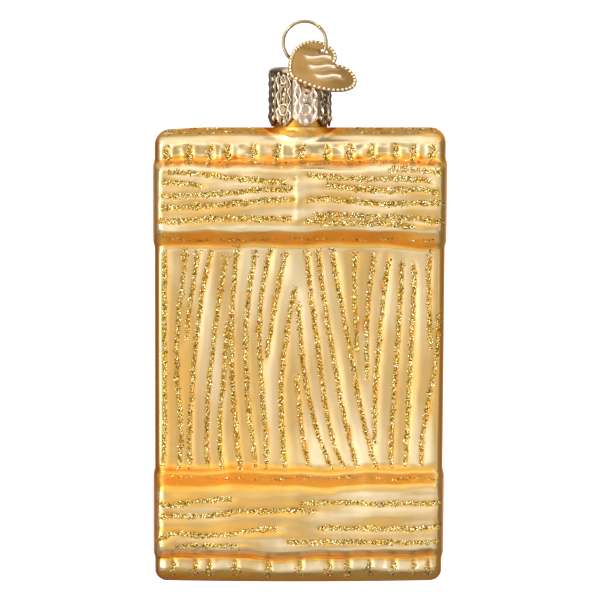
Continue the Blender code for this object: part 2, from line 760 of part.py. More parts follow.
def build_ring(made_of):
    """A round wire swept along its centre line, which lies in the plane Y = 0."""
    path = [Vector((x, 0.0, z)) for x, z in ring_path()]
    builder = bmesh.new()
    radius = WIRE_DIAMETER / 2.0
    loops = []
    for k, point in enumerate(path):
        before = path[max(k - 1, 0)]
        after = path[min(k + 1, len(path) - 1)]
        along = (after - before).normalized()
        across = Vector((0.0, 1.0, 0.0))
        out = along.cross(across)
        loop = []
        for s in range(WIRE_SIDES):
            angle = 2.0 * math.pi * (s + 0.5) / WIRE_SIDES
            offset = radius * (math.cos(angle) * across + math.sin(angle) * out)
            loop.append(builder.verts.new(point + offset))
        loops.append(loop)
    for first, second in zip(loops, loops[1:]):
        for s in range(WIRE_SIDES):
            follow = (s + 1) % WIRE_SIDES
            builder.faces.new((first[s], first[follow], second[follow], second[s]))
    builder.faces.new(loops[0])
    builder.faces.new(loops[-1])
    return finish_mesh("ring", builder, made_of, 50.0)


def heart_outline():
    """Outline in the tag's plane: first value along the heart from tip to lobes, second across it."""
    lobe_along = -TAG_LOBE_RADIUS
    lobe_across = TAG_HALF_WIDTH - TAG_LOBE_RADIUS
    half = []
    cleft = math.asin(min((lobe_across - TAG_CLEFT_ROUND) / TAG_LOBE_RADIUS, 1.0))
    for k in range(TAG_LOBE_STEPS + 1):
        angle = -cleft + (math.pi / 2.0 + cleft) * k / TAG_LOBE_STEPS
        along = lobe_along + TAG_LOBE_RADIUS * math.cos(angle)
        half.append((along, lobe_across + TAG_LOBE_RADIUS * math.sin(angle)))
    reach = TAG_LENGTH + lobe_along
    for k in range(1, TAG_SIDE_STEPS):
        share = math.sin(0.5 * math.pi * k / TAG_SIDE_STEPS)
        half.append((lobe_along - reach * share, TAG_HALF_WIDTH * (1.0 - share * share) ** TAG_SIDE_POWER))
    tip = (lobe_along - reach, 0.0)
    mirrored = [(along, -across) for along, across in reversed(half)]
    return half + [tip] + mirrored


def tag_frame():
    """The tag's directions, along and across the heart, its normal and the place of its hole."""
    normal = Vector((-TAG_SLOPE[0], 1.0, -TAG_SLOPE[1])).normalized()
    level = Vector((0.0, 0.0, 1.0)).cross(normal).normalized()
    steep = normal.cross(level)
    roll = math.radians(TAG_ROLL)
    along = level * math.cos(roll) + steep * math.sin(roll)
    across = -level * math.sin(roll) + steep * math.cos(roll)
    angle = math.radians(TAG_ON_RING_ANGLE)
    hole = Vector((RING_RADIUS * math.cos(angle), 0.0, RING_CENTRE_Z + RING_RADIUS * math.sin(angle)))
    hole += TAG_HOLE_SHIFT[0] * along + TAG_HOLE_SHIFT[1] * across
    return along, across, normal, hole


def build_tag(made_of):
    """A thin heart plate with a round hole, strung on the ring."""
    along, across, normal, hole = tag_frame()
    start = hole - TAG_HOLE_PLACE[0] * along - TAG_HOLE_PLACE[1] * across
    builder = bmesh.new()
    faces = []
    for side in (-0.5, 0.5):
        points = [start + a * along + c * across + side * TAG_THICKNESS * normal for a, c in heart_outline()]
        faces.append([builder.verts.new(point) for point in points])
    for face in faces:
        builder.faces.new(face)
    count = len(faces[0])
    for k in range(count):
        follow = (k + 1) % count
        builder.faces.new((faces[0][k], faces[0][follow], faces[1][follow], faces[1][k]))
    tag = finish_mesh("tag", builder, made_of, 30.0)
    builder = bmesh.new()
    radius = TAG_HOLE_RADIUS
    profile = ((0.0, DRILL_OVER), (radius, DRILL_OVER), (radius, -DRILL_OVER), (0.0, -DRILL_OVER))
    revolve(builder, profile, (0.0, 0.0), 16)
    turned = Matrix((along, across, normal)).transposed().to_4x4()
    bmesh.ops.transform(builder, matrix=Matrix.Translation(hole) @ turned, verts=builder.verts)
    combine(tag, finish_mesh("tool_tag_hole", builder), "DIFFERENCE")
    return tag


def main():
    clear_scene()
    build_body(material("lacquered_glass", (0.72, 0.50, 0.22), 0.28, 0.6))
    build_cap(material("cap_metal", (0.42, 0.33, 0.20), 0.32, 1.0))
    build_ring(material("ring_wire", (0.62, 0.52, 0.36), 0.28, 1.0))
    build_tag(material("tag_metal", (0.58, 0.40, 0.14), 0.35, 1.0))


main()
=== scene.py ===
"""Looks of the sushi ornament: lacquered glass board with glitter grain, cap, wire ring and heart tag."""
import math

import bmesh
import bpy
import numpy as np
from mathutils import Matrix, Vector


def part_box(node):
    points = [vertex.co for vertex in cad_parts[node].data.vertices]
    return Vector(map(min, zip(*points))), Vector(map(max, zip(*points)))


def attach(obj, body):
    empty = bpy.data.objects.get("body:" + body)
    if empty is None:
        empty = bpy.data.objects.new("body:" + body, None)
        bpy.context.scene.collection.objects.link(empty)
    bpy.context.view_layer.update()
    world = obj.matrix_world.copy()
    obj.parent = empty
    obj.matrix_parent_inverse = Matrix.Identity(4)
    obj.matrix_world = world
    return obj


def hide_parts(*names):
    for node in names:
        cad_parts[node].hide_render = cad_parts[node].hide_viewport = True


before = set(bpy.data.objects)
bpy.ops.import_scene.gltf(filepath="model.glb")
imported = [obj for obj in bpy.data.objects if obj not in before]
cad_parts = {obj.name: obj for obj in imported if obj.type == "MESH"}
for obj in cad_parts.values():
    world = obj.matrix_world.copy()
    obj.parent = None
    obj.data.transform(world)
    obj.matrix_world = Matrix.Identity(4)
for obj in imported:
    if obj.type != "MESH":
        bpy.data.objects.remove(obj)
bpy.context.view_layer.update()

MM = 0.001
RNG = np.random.default_rng(41)

# Sizes in millimetres and angles in degrees, the main ones as in the CAD. The tag's beads and strokes are
# given as height and half width
BODY_WIDTH = 56.8
BODY_HEIGHT = 87.85
WIDTH_TAPER = 0.9
FOOT_STAND_OUT = 0.28
BODY_LEAN = 0.40
BODY_MIDDLE = -0.85
BOARD_BACK = 6.0
BOARD_FRONT = 4.0
FOOT_RISE = 3.7
PARTING_Y = 2.3
CAP_RADIUS = 6.15
CAP_WALL = 0.40
CAP_CREASE = 0.24
CAP_SCALLOP = 1.40
CAP_LOBE_EDGES = (-53.0, -14.0, 36.0, 72.0, 119.0, 166.0, 213.0, 260.0)
# The cap lobe given a painted reflection of the lights, while the others get painted shade
CAP_LIT_LOBE = 1
CAP_FLATNESS = 0.75
CAP_TIP_SAG = 0.22
WIRE_DIAMETER = 0.68
RING_INNER_RADIUS = 3.78
RING_OPEN_ANGLE = 22.0
LEG_SPACING = 2.0
LEG_LENGTH = 8.0
LEG_SPREAD = (1.3, 0.5)
NECK_RADIUS = 5.2
CORNER_TOP = 3.0
CORNER_BOTTOM = 2.3
BOTTOM_BOW = 0.30
TOP_DROP = 0.50
TOP_DROP_REACH = 10.0
EDGE_WIDTH = 2.60
EDGE_POWER = 3.0
PANEL_SINK = 0.80
FILLET_REACH = 7.4
FILLET_RISE = 7.3
FILLET_BLEND = 2.2
FILLET_END = 7.0
NECK_TOP_DROP = 0.75
NECK_LIP = ((0.0, 0.0), (4.1, 0.0), (4.4, 0.0), (4.9, 0.05), (5.15, 0.3), (NECK_RADIUS, 0.8))
LEG_ABOVE_CAP = 0.12
BEND_ABOVE_CAP = 0.42
BEND_OUT = 0.06
WIRE_SIDES = 20
NECK_SEGMENTS = 120
TAG_SLOPE = (0.40, 1.125)
TAG_ROLL = 161.3
TAG_LENGTH = 12.9
TAG_HALF_WIDTH = 7.23
TAG_LOBE_RADIUS = 3.8
TAG_CLEFT_ROUND = 0.12
TAG_SIDE_POWER = 0.8
TAG_THICKNESS = 0.22
TAG_OUTLINE_POINTS = 300
TAG_RINGS = ((0.02, 0.80, 26), (0.815, 1.0, 16))
TAG_HOLE_SIDES = 40
TAG_DRILL_LENGTH = 3.0
TAG_HOLE_RADIUS = 0.72
TAG_HOLE_PLACE = (-1.99, -3.72)
TAG_ON_RING_ANGLE = -23.7
TAG_HOLE_SHIFT = (0.02, -0.02)
# Places across, in millimetres, over which painted shade darkens the tag towards its right
TAG_PAINTED_SHADE_FROM = (1.5, 7.0)
TAG_BEADS = 46
TAG_BEAD_INSET = 0.36
TAG_BEAD = (0.30, 0.38)
TAG_STROKES = ((-4.2, -2.5), (-5.0, 0.0), (-5.4, 2.7))
TAG_STROKE_TURN = 20.0
TAG_STROKE_REACH = 2.3
TAG_STROKE = (0.32, 0.52)

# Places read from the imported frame
body_low = np.array(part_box("glass_body")[0]) / MM
cap_low, cap_high = [np.array(corner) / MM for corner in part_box("cap")]
HALF_WIDTH = 0.5 * BODY_WIDTH
BODY_BOTTOM = body_low[2]
BODY_TOP = BODY_BOTTOM + BODY_HEIGHT
CAP_CENTRE = (0.5 * (cap_low[0] + cap_high[0]), 0.5 * (cap_low[1] + cap_high[1]))
CAP_TOP = cap_high[2]
CAP_BOTTOM = cap_low[2]

# Foot edges that slant on the right: height, where across they start, depth down the back and half width
FOOT_SLANTS = ((-0.60, 12.0, 22.4, 1.6), (0.75, 0.0, 69.8, 1.8))
LEVEL_STEPS = 4001
FOOT_EDGE_SOFTNESS = 0.30
END_ROUNDNESS = 1.55

# Glitter: flakes on each millimetre of a line, half widths of the lines, and the flakes' own sizes
GLITTER_PER_MM = 36.0
FOOT_GLITTER_PER_MM = 62.0
PANEL_STREWN = 0.25
FEET_STREWN = (0.31, 0.25)
FLAKE_SIZES = (0.20, 0.38)
FLAKE_LIFT = 0.14
FLAKE_TILT = 0.38
FLAKE_THICKNESS = 0.28

# The grid of the patchy noise, and the node and slot of every glass piece
PATCH_GRID = 128
GLASS = ("glass_body", "lacquered_glass")

# Levels down the back, as shares of the body height
STRIP_TOP = 0.034
FEET = (
    {"base": (0.071, 0.258), "face": (0.094, 0.223), "soft": 0.004},
    {"base": (0.753, 0.942), "face": (0.797, 0.920), "soft": 0.012},
)

# Lacquer down the back: millimetres below the top, and tone: 0 is pale gold, 1 deep orange, below 0 duller
LACQUER_TONES = (
    (0.0, 0.80), (0.5, 0.36), (0.9, 0.34), (1.2, 0.46), (1.4, 0.62), (1.6, 0.08), (2.4, 0.12),
    # The pale tone at 3.2 is a painted highlight along the edge between the top slope and the end strip
    (2.8, 0.18), (3.2, 0.02), (3.6, -0.08), (4.0, -0.12), (4.9, -0.12), (5.1, 0.10), (5.3, 0.48),
    (5.6, 0.72), (6.0, 0.88), (6.4, 0.76), (6.7, 0.48), (7.05, 0.40), (7.3, 0.04), (8.0, 0.05),
    # The pale tone at 19.6 is a painted highlight along the lower edge of the upper foot's face
    (8.6, 0.14), (10.0, 0.15), (18.0, 0.17), (18.6, 0.22), (19.2, 0.16), (19.6, 0.08), (20.1, 0.46),
    (20.5, 0.60), (22.0, 0.62), (22.5, 0.86), (22.9, 0.56), (23.3, 0.14), (24.0, 0.24), (27.0, 0.20),
    (63.0, 0.20), (64.4, 0.22), (65.0, 0.46), (65.4, 0.66), (65.9, 0.78), (66.3, 0.70), (66.7, 0.46),
    (67.1, 0.46), (67.7, 0.56), (68.3, 0.58), (68.9, 0.66), (69.3, 0.58), (69.8, 0.44), (70.4, 0.28),
    # The tones below 0 from 81.4 to 82.1 are painted shade on the lower foot's underside
    (71.0, 0.22), (79.0, 0.26), (80.0, 0.22), (80.4, 0.24), (80.9, 0.08), (81.4, -0.08), (82.1, -0.08),
    (82.4, 0.40), (82.8, 1.02), (83.1, 0.80), (83.4, 0.28), (83.7, 0.16), (84.6, 0.10), (85.2, 0.18),
    (86.0, 0.50), (87.85, 0.80),
)

# Grain on the panel: across at five even levels from its top to its foot, in hundredths of the half width,
# then its first and last share of the panel height and how thickly it is strewn
GRAIN_LINES = (
    (-90.8, -91.3, -91.0, -90.8, -92.0, 0.02, 0.99, 0.9),
    (-77.4, -80.8, -83.1, -80.6, -82.0, 0.01, 0.99, 1.0),
    (-68.0, -73.7, -77.3, -79.0, -80.0, 0.02, 0.42, 0.8),
    (-59.0, -66.6, -70.8, -73.5, -73.5, 0.02, 0.99, 0.8),
    (-48.0, -54.6, -59.2, -62.2, -61.3, 0.04, 0.99, 0.7),
    (-48.0, -48.7, -50.1, -53.2, -51.0, 0.33, 0.99, 0.7),
    (-41.8, -45.2, -45.6, -43.5, -39.2, 0.00, 0.99, 1.0),
    (-29.0, -34.7, -36.3, -33.5, -28.8, 0.02, 0.99, 1.1),
    (-18.3, -26.2, -26.6, -23.7, -21.5, 0.01, 0.99, 1.0),
    (-8.6, -16.2, -21.8, -25.0, -28.0, 0.02, 0.50, 1.1),
    (1.0, -4.8, -10.7, -11.9, -9.1, 0.18, 0.99, 1.1),
    (-3.0, -1.0, 2.2, 9.3, 23.1, 0.25, 0.99, 0.9),
    (-3.0, -3.0, -2.1, 0.7, 7.9, 0.57, 0.98, 0.7),
    (5.0, 8.3, 13.5, 19.0, 31.8, 0.02, 0.99, 0.9),
    (12.3, 16.9, 23.3, 30.3, 41.1, 0.01, 0.99, 1.0),
    (21.5, 28.0, 35.6, 42.8, 53.8, 0.01, 0.99, 1.0),
    (37.4, 37.6, 39.4, 42.0, 45.0, 0.02, 0.47, 0.9),
    (51.5, 46.6, 45.8, 47.3, 49.0, 0.03, 0.60, 0.8),
    (61.1, 56.6, 53.0, 51.3, 53.5, 0.06, 0.88, 0.9),
    (70.8, 68.0, 66.0, 63.5, 63.1, 0.07, 0.99, 1.0),
    (77.0, 77.1, 75.3, 73.8, 71.9, 0.08, 0.98, 1.1),
    (88.6, 87.6, 89.4, 91.0, 92.0, 0.02, 0.46, 0.9),
    (94.3, 94.3, 92.5, 86.0, 83.9, 0.29, 0.98, 0.8),
)
GRAIN_LEVELS = (0.0, 0.25, 0.5, 0.75, 1.0)

# Grain across each foot, line by line: places across in hundredths of the half width, each with its depth
# below the top of the foot's face in hundredths of that face
FOOT_GRAIN = (
    (
        ((-90, 1), (-68, 5), (-44, 13), (-27, 17), (-9, 20)),
        ((-92, 18), (-78, 22), (-66, 25)),
        ((-95, 44), (-75, 42), (-47, 39), (-27, 32), (-5, 31)),
        ((-94, 62), (-78, 62), (-58, 59), (-39, 54), (-6, 48)),
        ((-96, 84), (-89, 87), (-68, 82), (-25, 81), (-6, 81)),
        ((59, -3), (91, 0), (95, 6)),
        ((4, 6), (22, 12), (42, 15), (67, 13), (89, 18)),
        ((18, 25), (36, 30), (56, 35), (84, 30), (94, 40)),
        ((4, 51), (11, 47), (32, 51), (60, 58), (77, 54), (98, 55)),
        ((9, 77), (25, 74), (42, 77), (70, 79), (97, 87)),
        ((3, 86), (32, 89), (56, 89), (78, 96)),
    ),
    (
        ((-94, 22), (-83, 24), (-71, 16), (-45, 11)),
        ((-94, 43), (-58, 42), (-44, 34), (0, 31), (13, 34)),
        ((-97, 88), (-85, 72), (-65, 78), (-47, 74), (-30, 66), (-13, 65)),
        ((-83, 97), (-51, 94), (-40, 98)),
        ((1, 19), (36, 17), (51, 21), (96, 19)),
        ((13, 63), (36, 63), (77, 66), (96, 59)),
        ((-8, 88), (36, 87), (95, 91)),
    ),
)

# A low ridge down the middle of the upper foot, and two small moulding pits: across and down
RIDGE_PLACE = (-0.35, 13.6)
PITS = ((-0.9, 9.9), (-0.95, 13.8))

NOTCHES_TOP = (-90, -75, -61, -49, -31, -15.5, 1, 18, 34, 49, 65, 77, 90)
NOTCHES_BOTTOM = (-85, -70, -60.5, -43, -20.5, 1, 20.5, 33.5, 48, 64, 78, 88)

# Thin broken lines of glitter on the feet's sides and the top slope: share of the height, density and seed
FOOT_SIDE_LINES = ((0.077, 16.0, 31), (0.244, 9.0, 32), (0.767, 9.0, 33))
TOP_SLOPE_LINES = ((0.003, 20.0, 41), (0.0115, 20.0, 43))

# Notches of each end strip, their first and last share of the height, and the most flakes in one
STREWN_NOTCHES = ((NOTCHES_TOP, 0.036, 0.071, 240), (NOTCHES_BOTTOM, 0.953, 0.985, 110))

# Moulded relief as depth and half width. The ridge also has a half length, the halo and the rims have one
# value each, streaks are coarse and fine, and the shades say how gold the wide grooves of each foot look
PANEL_GROOVE = (0.26, 1.55)
PANEL_LINE = (0.07, 0.58)
PANEL_HALO = 0.85
PANEL_STREAK_DEPTHS = (0.035, 0.018)
FOOT_GROOVE = (0.20, 1.15)
FOOT_LINE = (0.07, 0.55)
FOOT_STREAK_DEPTHS = (0.060, 0.028)
FOOT_SHADES = (0.46, 0.34)
RIDGE = (0.13, 0.55, 4.6)
PIT = (0.16, 0.50)
NOTCH = (0.30, 0.70)
NOTCH_RIM = 0.20
NOTCH_RIM_PLACES = ((1.05, 0.45), (-1.15, 0.40))

# How far the lacquer's tone sways, and the slant of painted light across it; the tones it turns to at the
# edges, the right edge's darker gold being painted shade and the left edge's pale tone a painted highlight,
# and at the neck;
# and the depth below which it may be duller than its palest gold, which lets painted shade onto the lower
# foot's underside
PANEL_SWAY = 0.15
FEET_SWAY = 0.26
STRIP_SWAY = 0.58
PAINTED_LIGHT_SLANT = 0.15
SHADED_EDGE_TONE = 0.36
HIGHLIGHT_EDGE_TONE = 0.02
NECK_FOOT_TONE = 0.56
DULL_BELOW = 80.0

# The cap's top from its middle out, as radius and height over the cap, and its stamped pattern
CAP_DISC = (1.2, 2.2, 3.2, 3.9, 4.3, 4.55)
CAP_BEAD_ROWS = ((4.7, -0.12), (4.85, -0.06), (5.0, -0.02), (5.15, -0.02), (5.3, -0.05), (5.45, -0.12))
CAP_SHOULDER = ((5.6, -0.24), (5.75, -0.31), (5.90, -0.42), (6.03, -0.58), (6.12, -0.78))
CAP_RINGS = ((2.5, 0.80, 0.62), (8.2, 1.04, 0.95))
CAP_DOTS = ((0.0, 5.4, 0.40), (0.35, 4.4, 0.28), (-0.25, 6.3, 0.30), (0.0, 10.4, 0.36))
# Painted reflection added on the lit lobe and painted shade taken off the other lobes, as shares of the
# bright colour
CAP_LOBE_SHEEN_AND_SHADE = (0.42, -0.36)
CAP_BEADS = 52.0
CAP_BEAD_RADIUS = 5.07
CAP_SHOULDER_DROP = 0.9
CAP_SCALLOP_POWER = 1.5
CAP_SEGMENTS = 448
CAP_ROWS = 104

# The mesh of the board's back: places in from its sides and its ends, and the even ones between
WALL_COLUMNS = (0.0, 0.06, 0.14, 0.24, 0.34, 0.43, 0.50, 0.58, 0.67, 0.78, 0.90, 1.03, 1.18, 1.34, 1.52, 1.74)
INNER_COLUMNS = 204
SLOPE_ROWS = (0.0, 0.03, 0.09, 0.18, 0.30, 0.45, 0.63, 0.84, 1.08, 1.35, 1.65, 2.0)
INNER_ROWS = 306

# The board's rounded far edge: distance in from the outline, and share of the far side's thickness
FRONT_STEPS = (
    (0.04, 0.18), (0.12, 0.38), (0.28, 0.58), (0.5, 0.75), (0.85, 0.9), (1.3, 0.98), (2.0, 1.0), (4.0, 1.0),
)

# Sushi on the far side: a form's name and lacquer, half sizes, squareness, and its heights with their sizes
FILLINGS = ("salmon", "tuna", "egg")
NIGIRI_LEVELS = (0.17, 0.385, 0.83)
TOPPING_FURROWS = (5.2, 7.4, None)
NIGIRI_FORMS = (
    ("rice_block", "rice", (0.66 * HALF_WIDTH, 6.5), 2.8,
     ((-0.8, 0.95), (0.8, 1.0), (2.6, 1.0), (4.4, 0.97), (5.6, 0.88), (6.2, 0.6), (6.4, 0.1))),
    ("topping", None, (0.67 * HALF_WIDTH, 6.8), 2.7,
     ((4.2, 0.97), (4.9, 1.02), (6.0, 1.02), (7.6, 0.97), (8.8, 0.80), (9.3, 0.45), (9.4, 0.05))),
)
MAKI_LEVEL = 0.605
MAKI_PLACES = (-0.58, 0.0, 0.58)
MAKI_FORMS = (
    ("maki_band", "seaweed", (6.9, 6.9), 2.0,
     ((-0.8, 1.0), (3.0, 1.0), (6.4, 0.99), (7.6, 0.93), (7.8, 0.86), (7.4, 0.80), (7.2, 0.78))),
    ("maki_rice", "rice", (6.9, 6.9), 2.0,
     ((5.0, 0.84), (7.0, 0.82), (7.5, 0.74), (7.5, 0.5), (7.2, 0.40), (7.0, 0.2))),
    ("maki_filling", None, (6.9, 6.9), 2.2,
     ((6.0, 0.42), (7.5, 0.38), (7.9, 0.26), (8.0, 0.05))),
)
FORM_SEGMENTS = 120
SOFTENER = (0.25, 0.5, 0.25)
FURROW_DEPTH = 0.16

# Noise as scale and detail, with a stretch. The clouds lie over all lacquer, the patches along the grooves,
# the breaks in the orange streaks. Bumps are a noise scale and a strength
CLOUDS = (130.0, 3.0, (1.0, 1.0, 0.35))
GROOVE_PATCHES = (200.0, 2.0, (1.0, 1.0, 0.5))
STREAK_BREAKS = (450.0, 2.0)
SATIN_GRAIN = (700.0, 2.0)
SATIN_BUMPS = (1500.0, 0.08)
GRAINY_BUMPS = (620.0, 1.0)
BUMP_DISTANCE = 0.0001

# Colours as red, green and blue from 0 to 255. A ramp gives each stop's place first, and the far side's
# lacquers have their ramp, how metallic they are, and their bumps
GOLD_RAMP = ((0.0, 190, 164, 112), (0.15, 244, 224, 182), (0.40, 210, 175, 112),
             (0.66, 244, 186, 86), (0.87, 240, 158, 54), (1.0, 208, 118, 36))
GROOVE_COLOURS = ((226, 174, 86), (176, 130, 42), (210, 138, 54))
GOLD_SHEEN = (255, 196, 120)
# Flakes run from dark olive to near white: painted shade on some and painted sparkle on others
GLITTER_RAMP = ((0.0, 82, 58, 4), (0.24, 132, 96, 18), (0.40, 202, 154, 42), (0.58, 236, 194, 74),
                (0.70, 252, 226, 124), (0.82, 255, 246, 180), (1.0, 255, 254, 232))
FAR_LACQUERS = {
    "rice": (((0.1, 240, 236, 224), (1.0, 214, 206, 188)), 0.12, GRAINY_BUMPS),
    "salmon": (((0.0, 250, 206, 176), (0.22, 240, 142, 96), (1.0, 224, 108, 64)), 0.45, SATIN_BUMPS),
    "tuna": (((0.0, 232, 132, 122), (0.22, 200, 60, 56), (1.0, 168, 38, 42)), 0.45, SATIN_BUMPS),
    "egg": (((0.0, 246, 208, 98), (1.0, 232, 182, 62)), 0.45, SATIN_BUMPS),
    "seaweed": (((0.0, 46, 66, 50), (1.0, 30, 46, 36)), 0.30, SATIN_BUMPS),
}
CAP_RAMP = ((0.3, 106, 86, 60), (0.55, 136, 116, 86), (0.75, 84, 62, 38))
# The cap's bright colour: rubbed metal with painted highlights and a painted reflection
CAP_POLISH_AND_SHEEN = (250, 226, 202)
RING_RAMP = ((0.3, 196, 176, 140), (0.7, 158, 136, 100))
TAG_RAMP = ((0.3, 168, 132, 80), (0.7, 154, 118, 64))
# The tag's bright colour on its beads and strokes: rubbed metal with a painted highlight
TAG_POLISH_AND_SHEEN = (250, 222, 184)
# Painted shade on the tag's right side
TAG_PAINTED_SHADE = (126, 96, 50)

# Camera: the photo's size and the hanging point in pixels, its scale, and where the camera stands
PHOTO_SIZE = 600.0
PHOTO_ORIGIN = (304.7, 23.0)
MM_PER_PIXEL = 0.192
CAMERA_DISTANCE = 1.10
CAMERA_PITCH = 2.0
CAMERA_AIM_Y = -4.0
SENSOR_WIDTH = 36.0

# Soft boxes around the ornament's middle: azimuth, elevation, distance, width, height in metres, radiance
STUDIO_MIDDLE_Z = -0.06
LIGHTS = (
    ("front_left_high", -18.0, 18.0, 1.40, 0.85, 0.70, 1.04),
    ("front_left_low", -18.0, -10.0, 1.40, 0.85, 0.70, 0.74),
    ("front_right_high", 15.0, 18.0, 1.40, 0.60, 0.70, 0.94),
    ("front_right_low", 15.0, -10.0, 1.40, 0.60, 0.70, 0.66),
    ("key", -50.0, 10.0, 1.45, 1.10, 1.90, 2.60),
    ("right", 56.0, 5.0, 1.40, 1.25, 1.70, 0.76),
    ("upper_front", 0.0, 54.0, 1.40, 1.30, 0.98, 0.94),
    ("upper_left", -62.0, 58.0, 1.40, 1.00, 0.90, 0.85),
    ("upper_right", 62.0, 58.0, 1.40, 1.00, 0.90, 0.58),
    ("lower_front", 0.0, -40.0, 1.40, 1.30, 0.75, 0.62),
    ("top", 180.0, 78.0, 1.25, 1.60, 1.10, 1.10),
    ("floor_bounce", 0.0, -80.0, 1.05, 1.60, 1.20, 0.45),
    ("behind", 180.0, 12.0, 1.50, 1.60, 1.40, 0.55),
    ("glint_left", -38.0, 32.0, 1.60, 0.14, 0.14, 44.0),
    ("glint_right", 30.0, 36.0, 1.60, 0.14, 0.14, 34.0),
    ("glint_low", -24.0, -24.0, 1.60, 0.12, 0.12, 30.0),
)
FLOOR_LEVEL = -1600.0
FLOOR_RADIUS = 1800.0
WALL_BEND = 1000.0
WALL_TOP = 2600.0
FLOOR_SEGMENTS = 96
FLOOR_TONE = 0.9
SKY_COLOUR = (1.0, 0.985, 0.96, 1.0)
SKY_STRENGTH = 0.26


def linear(*values):
    """An sRGB colour, 0 to 255, as the linear values a shader takes."""
    made = []
    for value in values:
        share = value / 255.0
        made.append(share / 12.92 if share <= 0.04045 else ((share + 0.055) / 1.055) ** 2.4)
    return (*made, 1.0)


def smooth_step(low, high, value):
    share = np.clip((value - low) / (high - low), 0.0, 1.0)
    return share * share * (3.0 - 2.0 * share)


def fade(low, high, value):
    return 1.0 - smooth_step(low, high, value)


def between(value, low, full, fading, high):
    """A share that rises from low to full and falls again from fading to high."""
    return smooth_step(low, full, value) * fade(fading, high, value)


def bell(away, width):
    """A soft hump, 1 in its middle."""
    return np.exp(-((away / width) ** 2))


def circle(count):
    """Even angles around a full turn."""
    return 2.0 * math.pi * np.arange(count) / count


class Wave:
    """Smooth seeded noise along one or two axes, a sum of sines."""

    def __init__(self, lengths, seed):
        rng = np.random.default_rng(seed)
        self.terms = []
        for length in lengths:
            self.terms.append((2.0 * math.pi / length, rng.uniform(0, 2 * math.pi), rng.uniform(-0.35, 0.35)))

    def __call__(self, along, across=0.0):
        total = 0.0
        for rate, phase, skew in self.terms:
            total = total + np.sin(rate * along + phase + skew * across)
        return total / len(self.terms)


class Patches:
    """Smooth seeded noise over the back, from -1 to 1, with its own patch length across and down."""

    def __init__(self, across, down, seed):
        self.lengths = (across, down)
        self.values = np.random.default_rng(seed).uniform(-1.0, 1.0, (PATCH_GRID, PATCH_GRID))

    def __call__(self, x, depth):
        u = (x + 2.0 * HALF_WIDTH) / self.lengths[0]
        v = (depth + BODY_HEIGHT) / self.lengths[1]
        i = np.floor(u).astype(int)
        j = np.floor(v).astype(int)
        s = smooth_step(0.0, 1.0, u - i)
        t = smooth_step(0.0, 1.0, v - j)
        corners = []
        for a, b in ((0, 0), (1, 0), (0, 1), (1, 1)):
            corners.append(self.values[(i + a) % PATCH_GRID, (j + b) % PATCH_GRID])
        upper = corners[0] * (1.0 - s) + corners[1] * s
        lower = corners[2] * (1.0 - s) + corners[3] * s
        return upper * (1.0 - t) + lower * t


# Relief of the back

def panel_limits():
    return FEET[0]["base"][1] * BODY_HEIGHT, FEET[1]["base"][0] * BODY_HEIGHT


def grain_centre(k, depth):
    """Distance of a panel grain line from the middle at a depth down the back."""
    low, high = panel_limits()
    share = (depth - low) / (high - low)
    smooth = np.polynomial.Polynomial.fit(GRAIN_LEVELS, GRAIN_LINES[k][:5], 4)
    wander = 0.10 * Wave((13.0, 7.1, 4.6), 100 + k)(depth)
    return smooth(np.clip(share, 0.0, 1.0)) * HALF_WIDTH / 100.0 + wander


def grain_strength(k, depth):
    low, high = panel_limits()
    start, end = GRAIN_LINES[k][5:7]
    return between((depth - low) / (high - low), start - 0.05, start + 0.05, end - 0.05, end + 0.05)


def foot_line(f, k, x):
    """Depth down the back of one line of foot grain, and how strong it is, at places across."""
    start, end = [share * BODY_HEIGHT for share in FEET[f]["face"]]
    line = np.array(FOOT_GRAIN[f][k], dtype=float)
    across = 100.0 * x / HALF_WIDTH
    level = np.zeros_like(across)
    for shift in (-6.0, -3.0, 0.0, 3.0, 6.0):
        level = level + 0.2 * np.interp(across + shift, line[:, 0], line[:, 1])
    depth = start + (end - start) * level / 100.0 + 0.10 * Wave((14.0, 6.2, 4.1), 300 + 20 * f + k)(x)
    first, last = line[[0, -1], 0]
    return depth, between(across, first - 6.0, first + 4.0, last - 4.0, last + 6.0)


def level_table():
    """Smoothed height of the board and feet above the parting plane, down the middle."""
    depth = np.linspace(0.0, BODY_HEIGHT, LEVEL_STEPS)
    marks = [(0.0, 0.0)]
    for foot in FEET:
        base, face, soft = foot["base"], foot["face"], foot["soft"]
        marks += [(base[0] - 0.004, 0.0), (base[0] + 0.002, -0.05), (face[0] - soft, 0.93)]
        marks += [(face[0] + soft, 1.0), (face[1] - 0.004, 1.0), (face[1] + 0.003, 0.93)]
        marks += [(base[1] - 0.002, -0.05), (base[1] + 0.004, 0.0)]
    marks.append((1.0, 0.0))
    feet = np.interp(depth / BODY_HEIGHT, *zip(*marks))
    width = FOOT_EDGE_SOFTNESS / (depth[1] - depth[0])
    reach = np.arange(-int(3 * width), int(3 * width) + 1)
    weights = np.exp(-0.5 * (reach / width) ** 2)
    padded = np.concatenate([np.full(len(reach) // 2, feet[0]), feet, np.full(len(reach) // 2, feet[-1])])
    feet = np.convolve(padded, weights / weights.sum(), mode="valid")
    reach_end = np.minimum(depth, BODY_HEIGHT - depth) / (STRIP_TOP * BODY_HEIGHT)
    ends = 1.0 - np.clip(1.0 - reach_end, 0.0, 1.0) ** END_ROUNDNESS
    return depth, BOARD_BACK * ends, feet


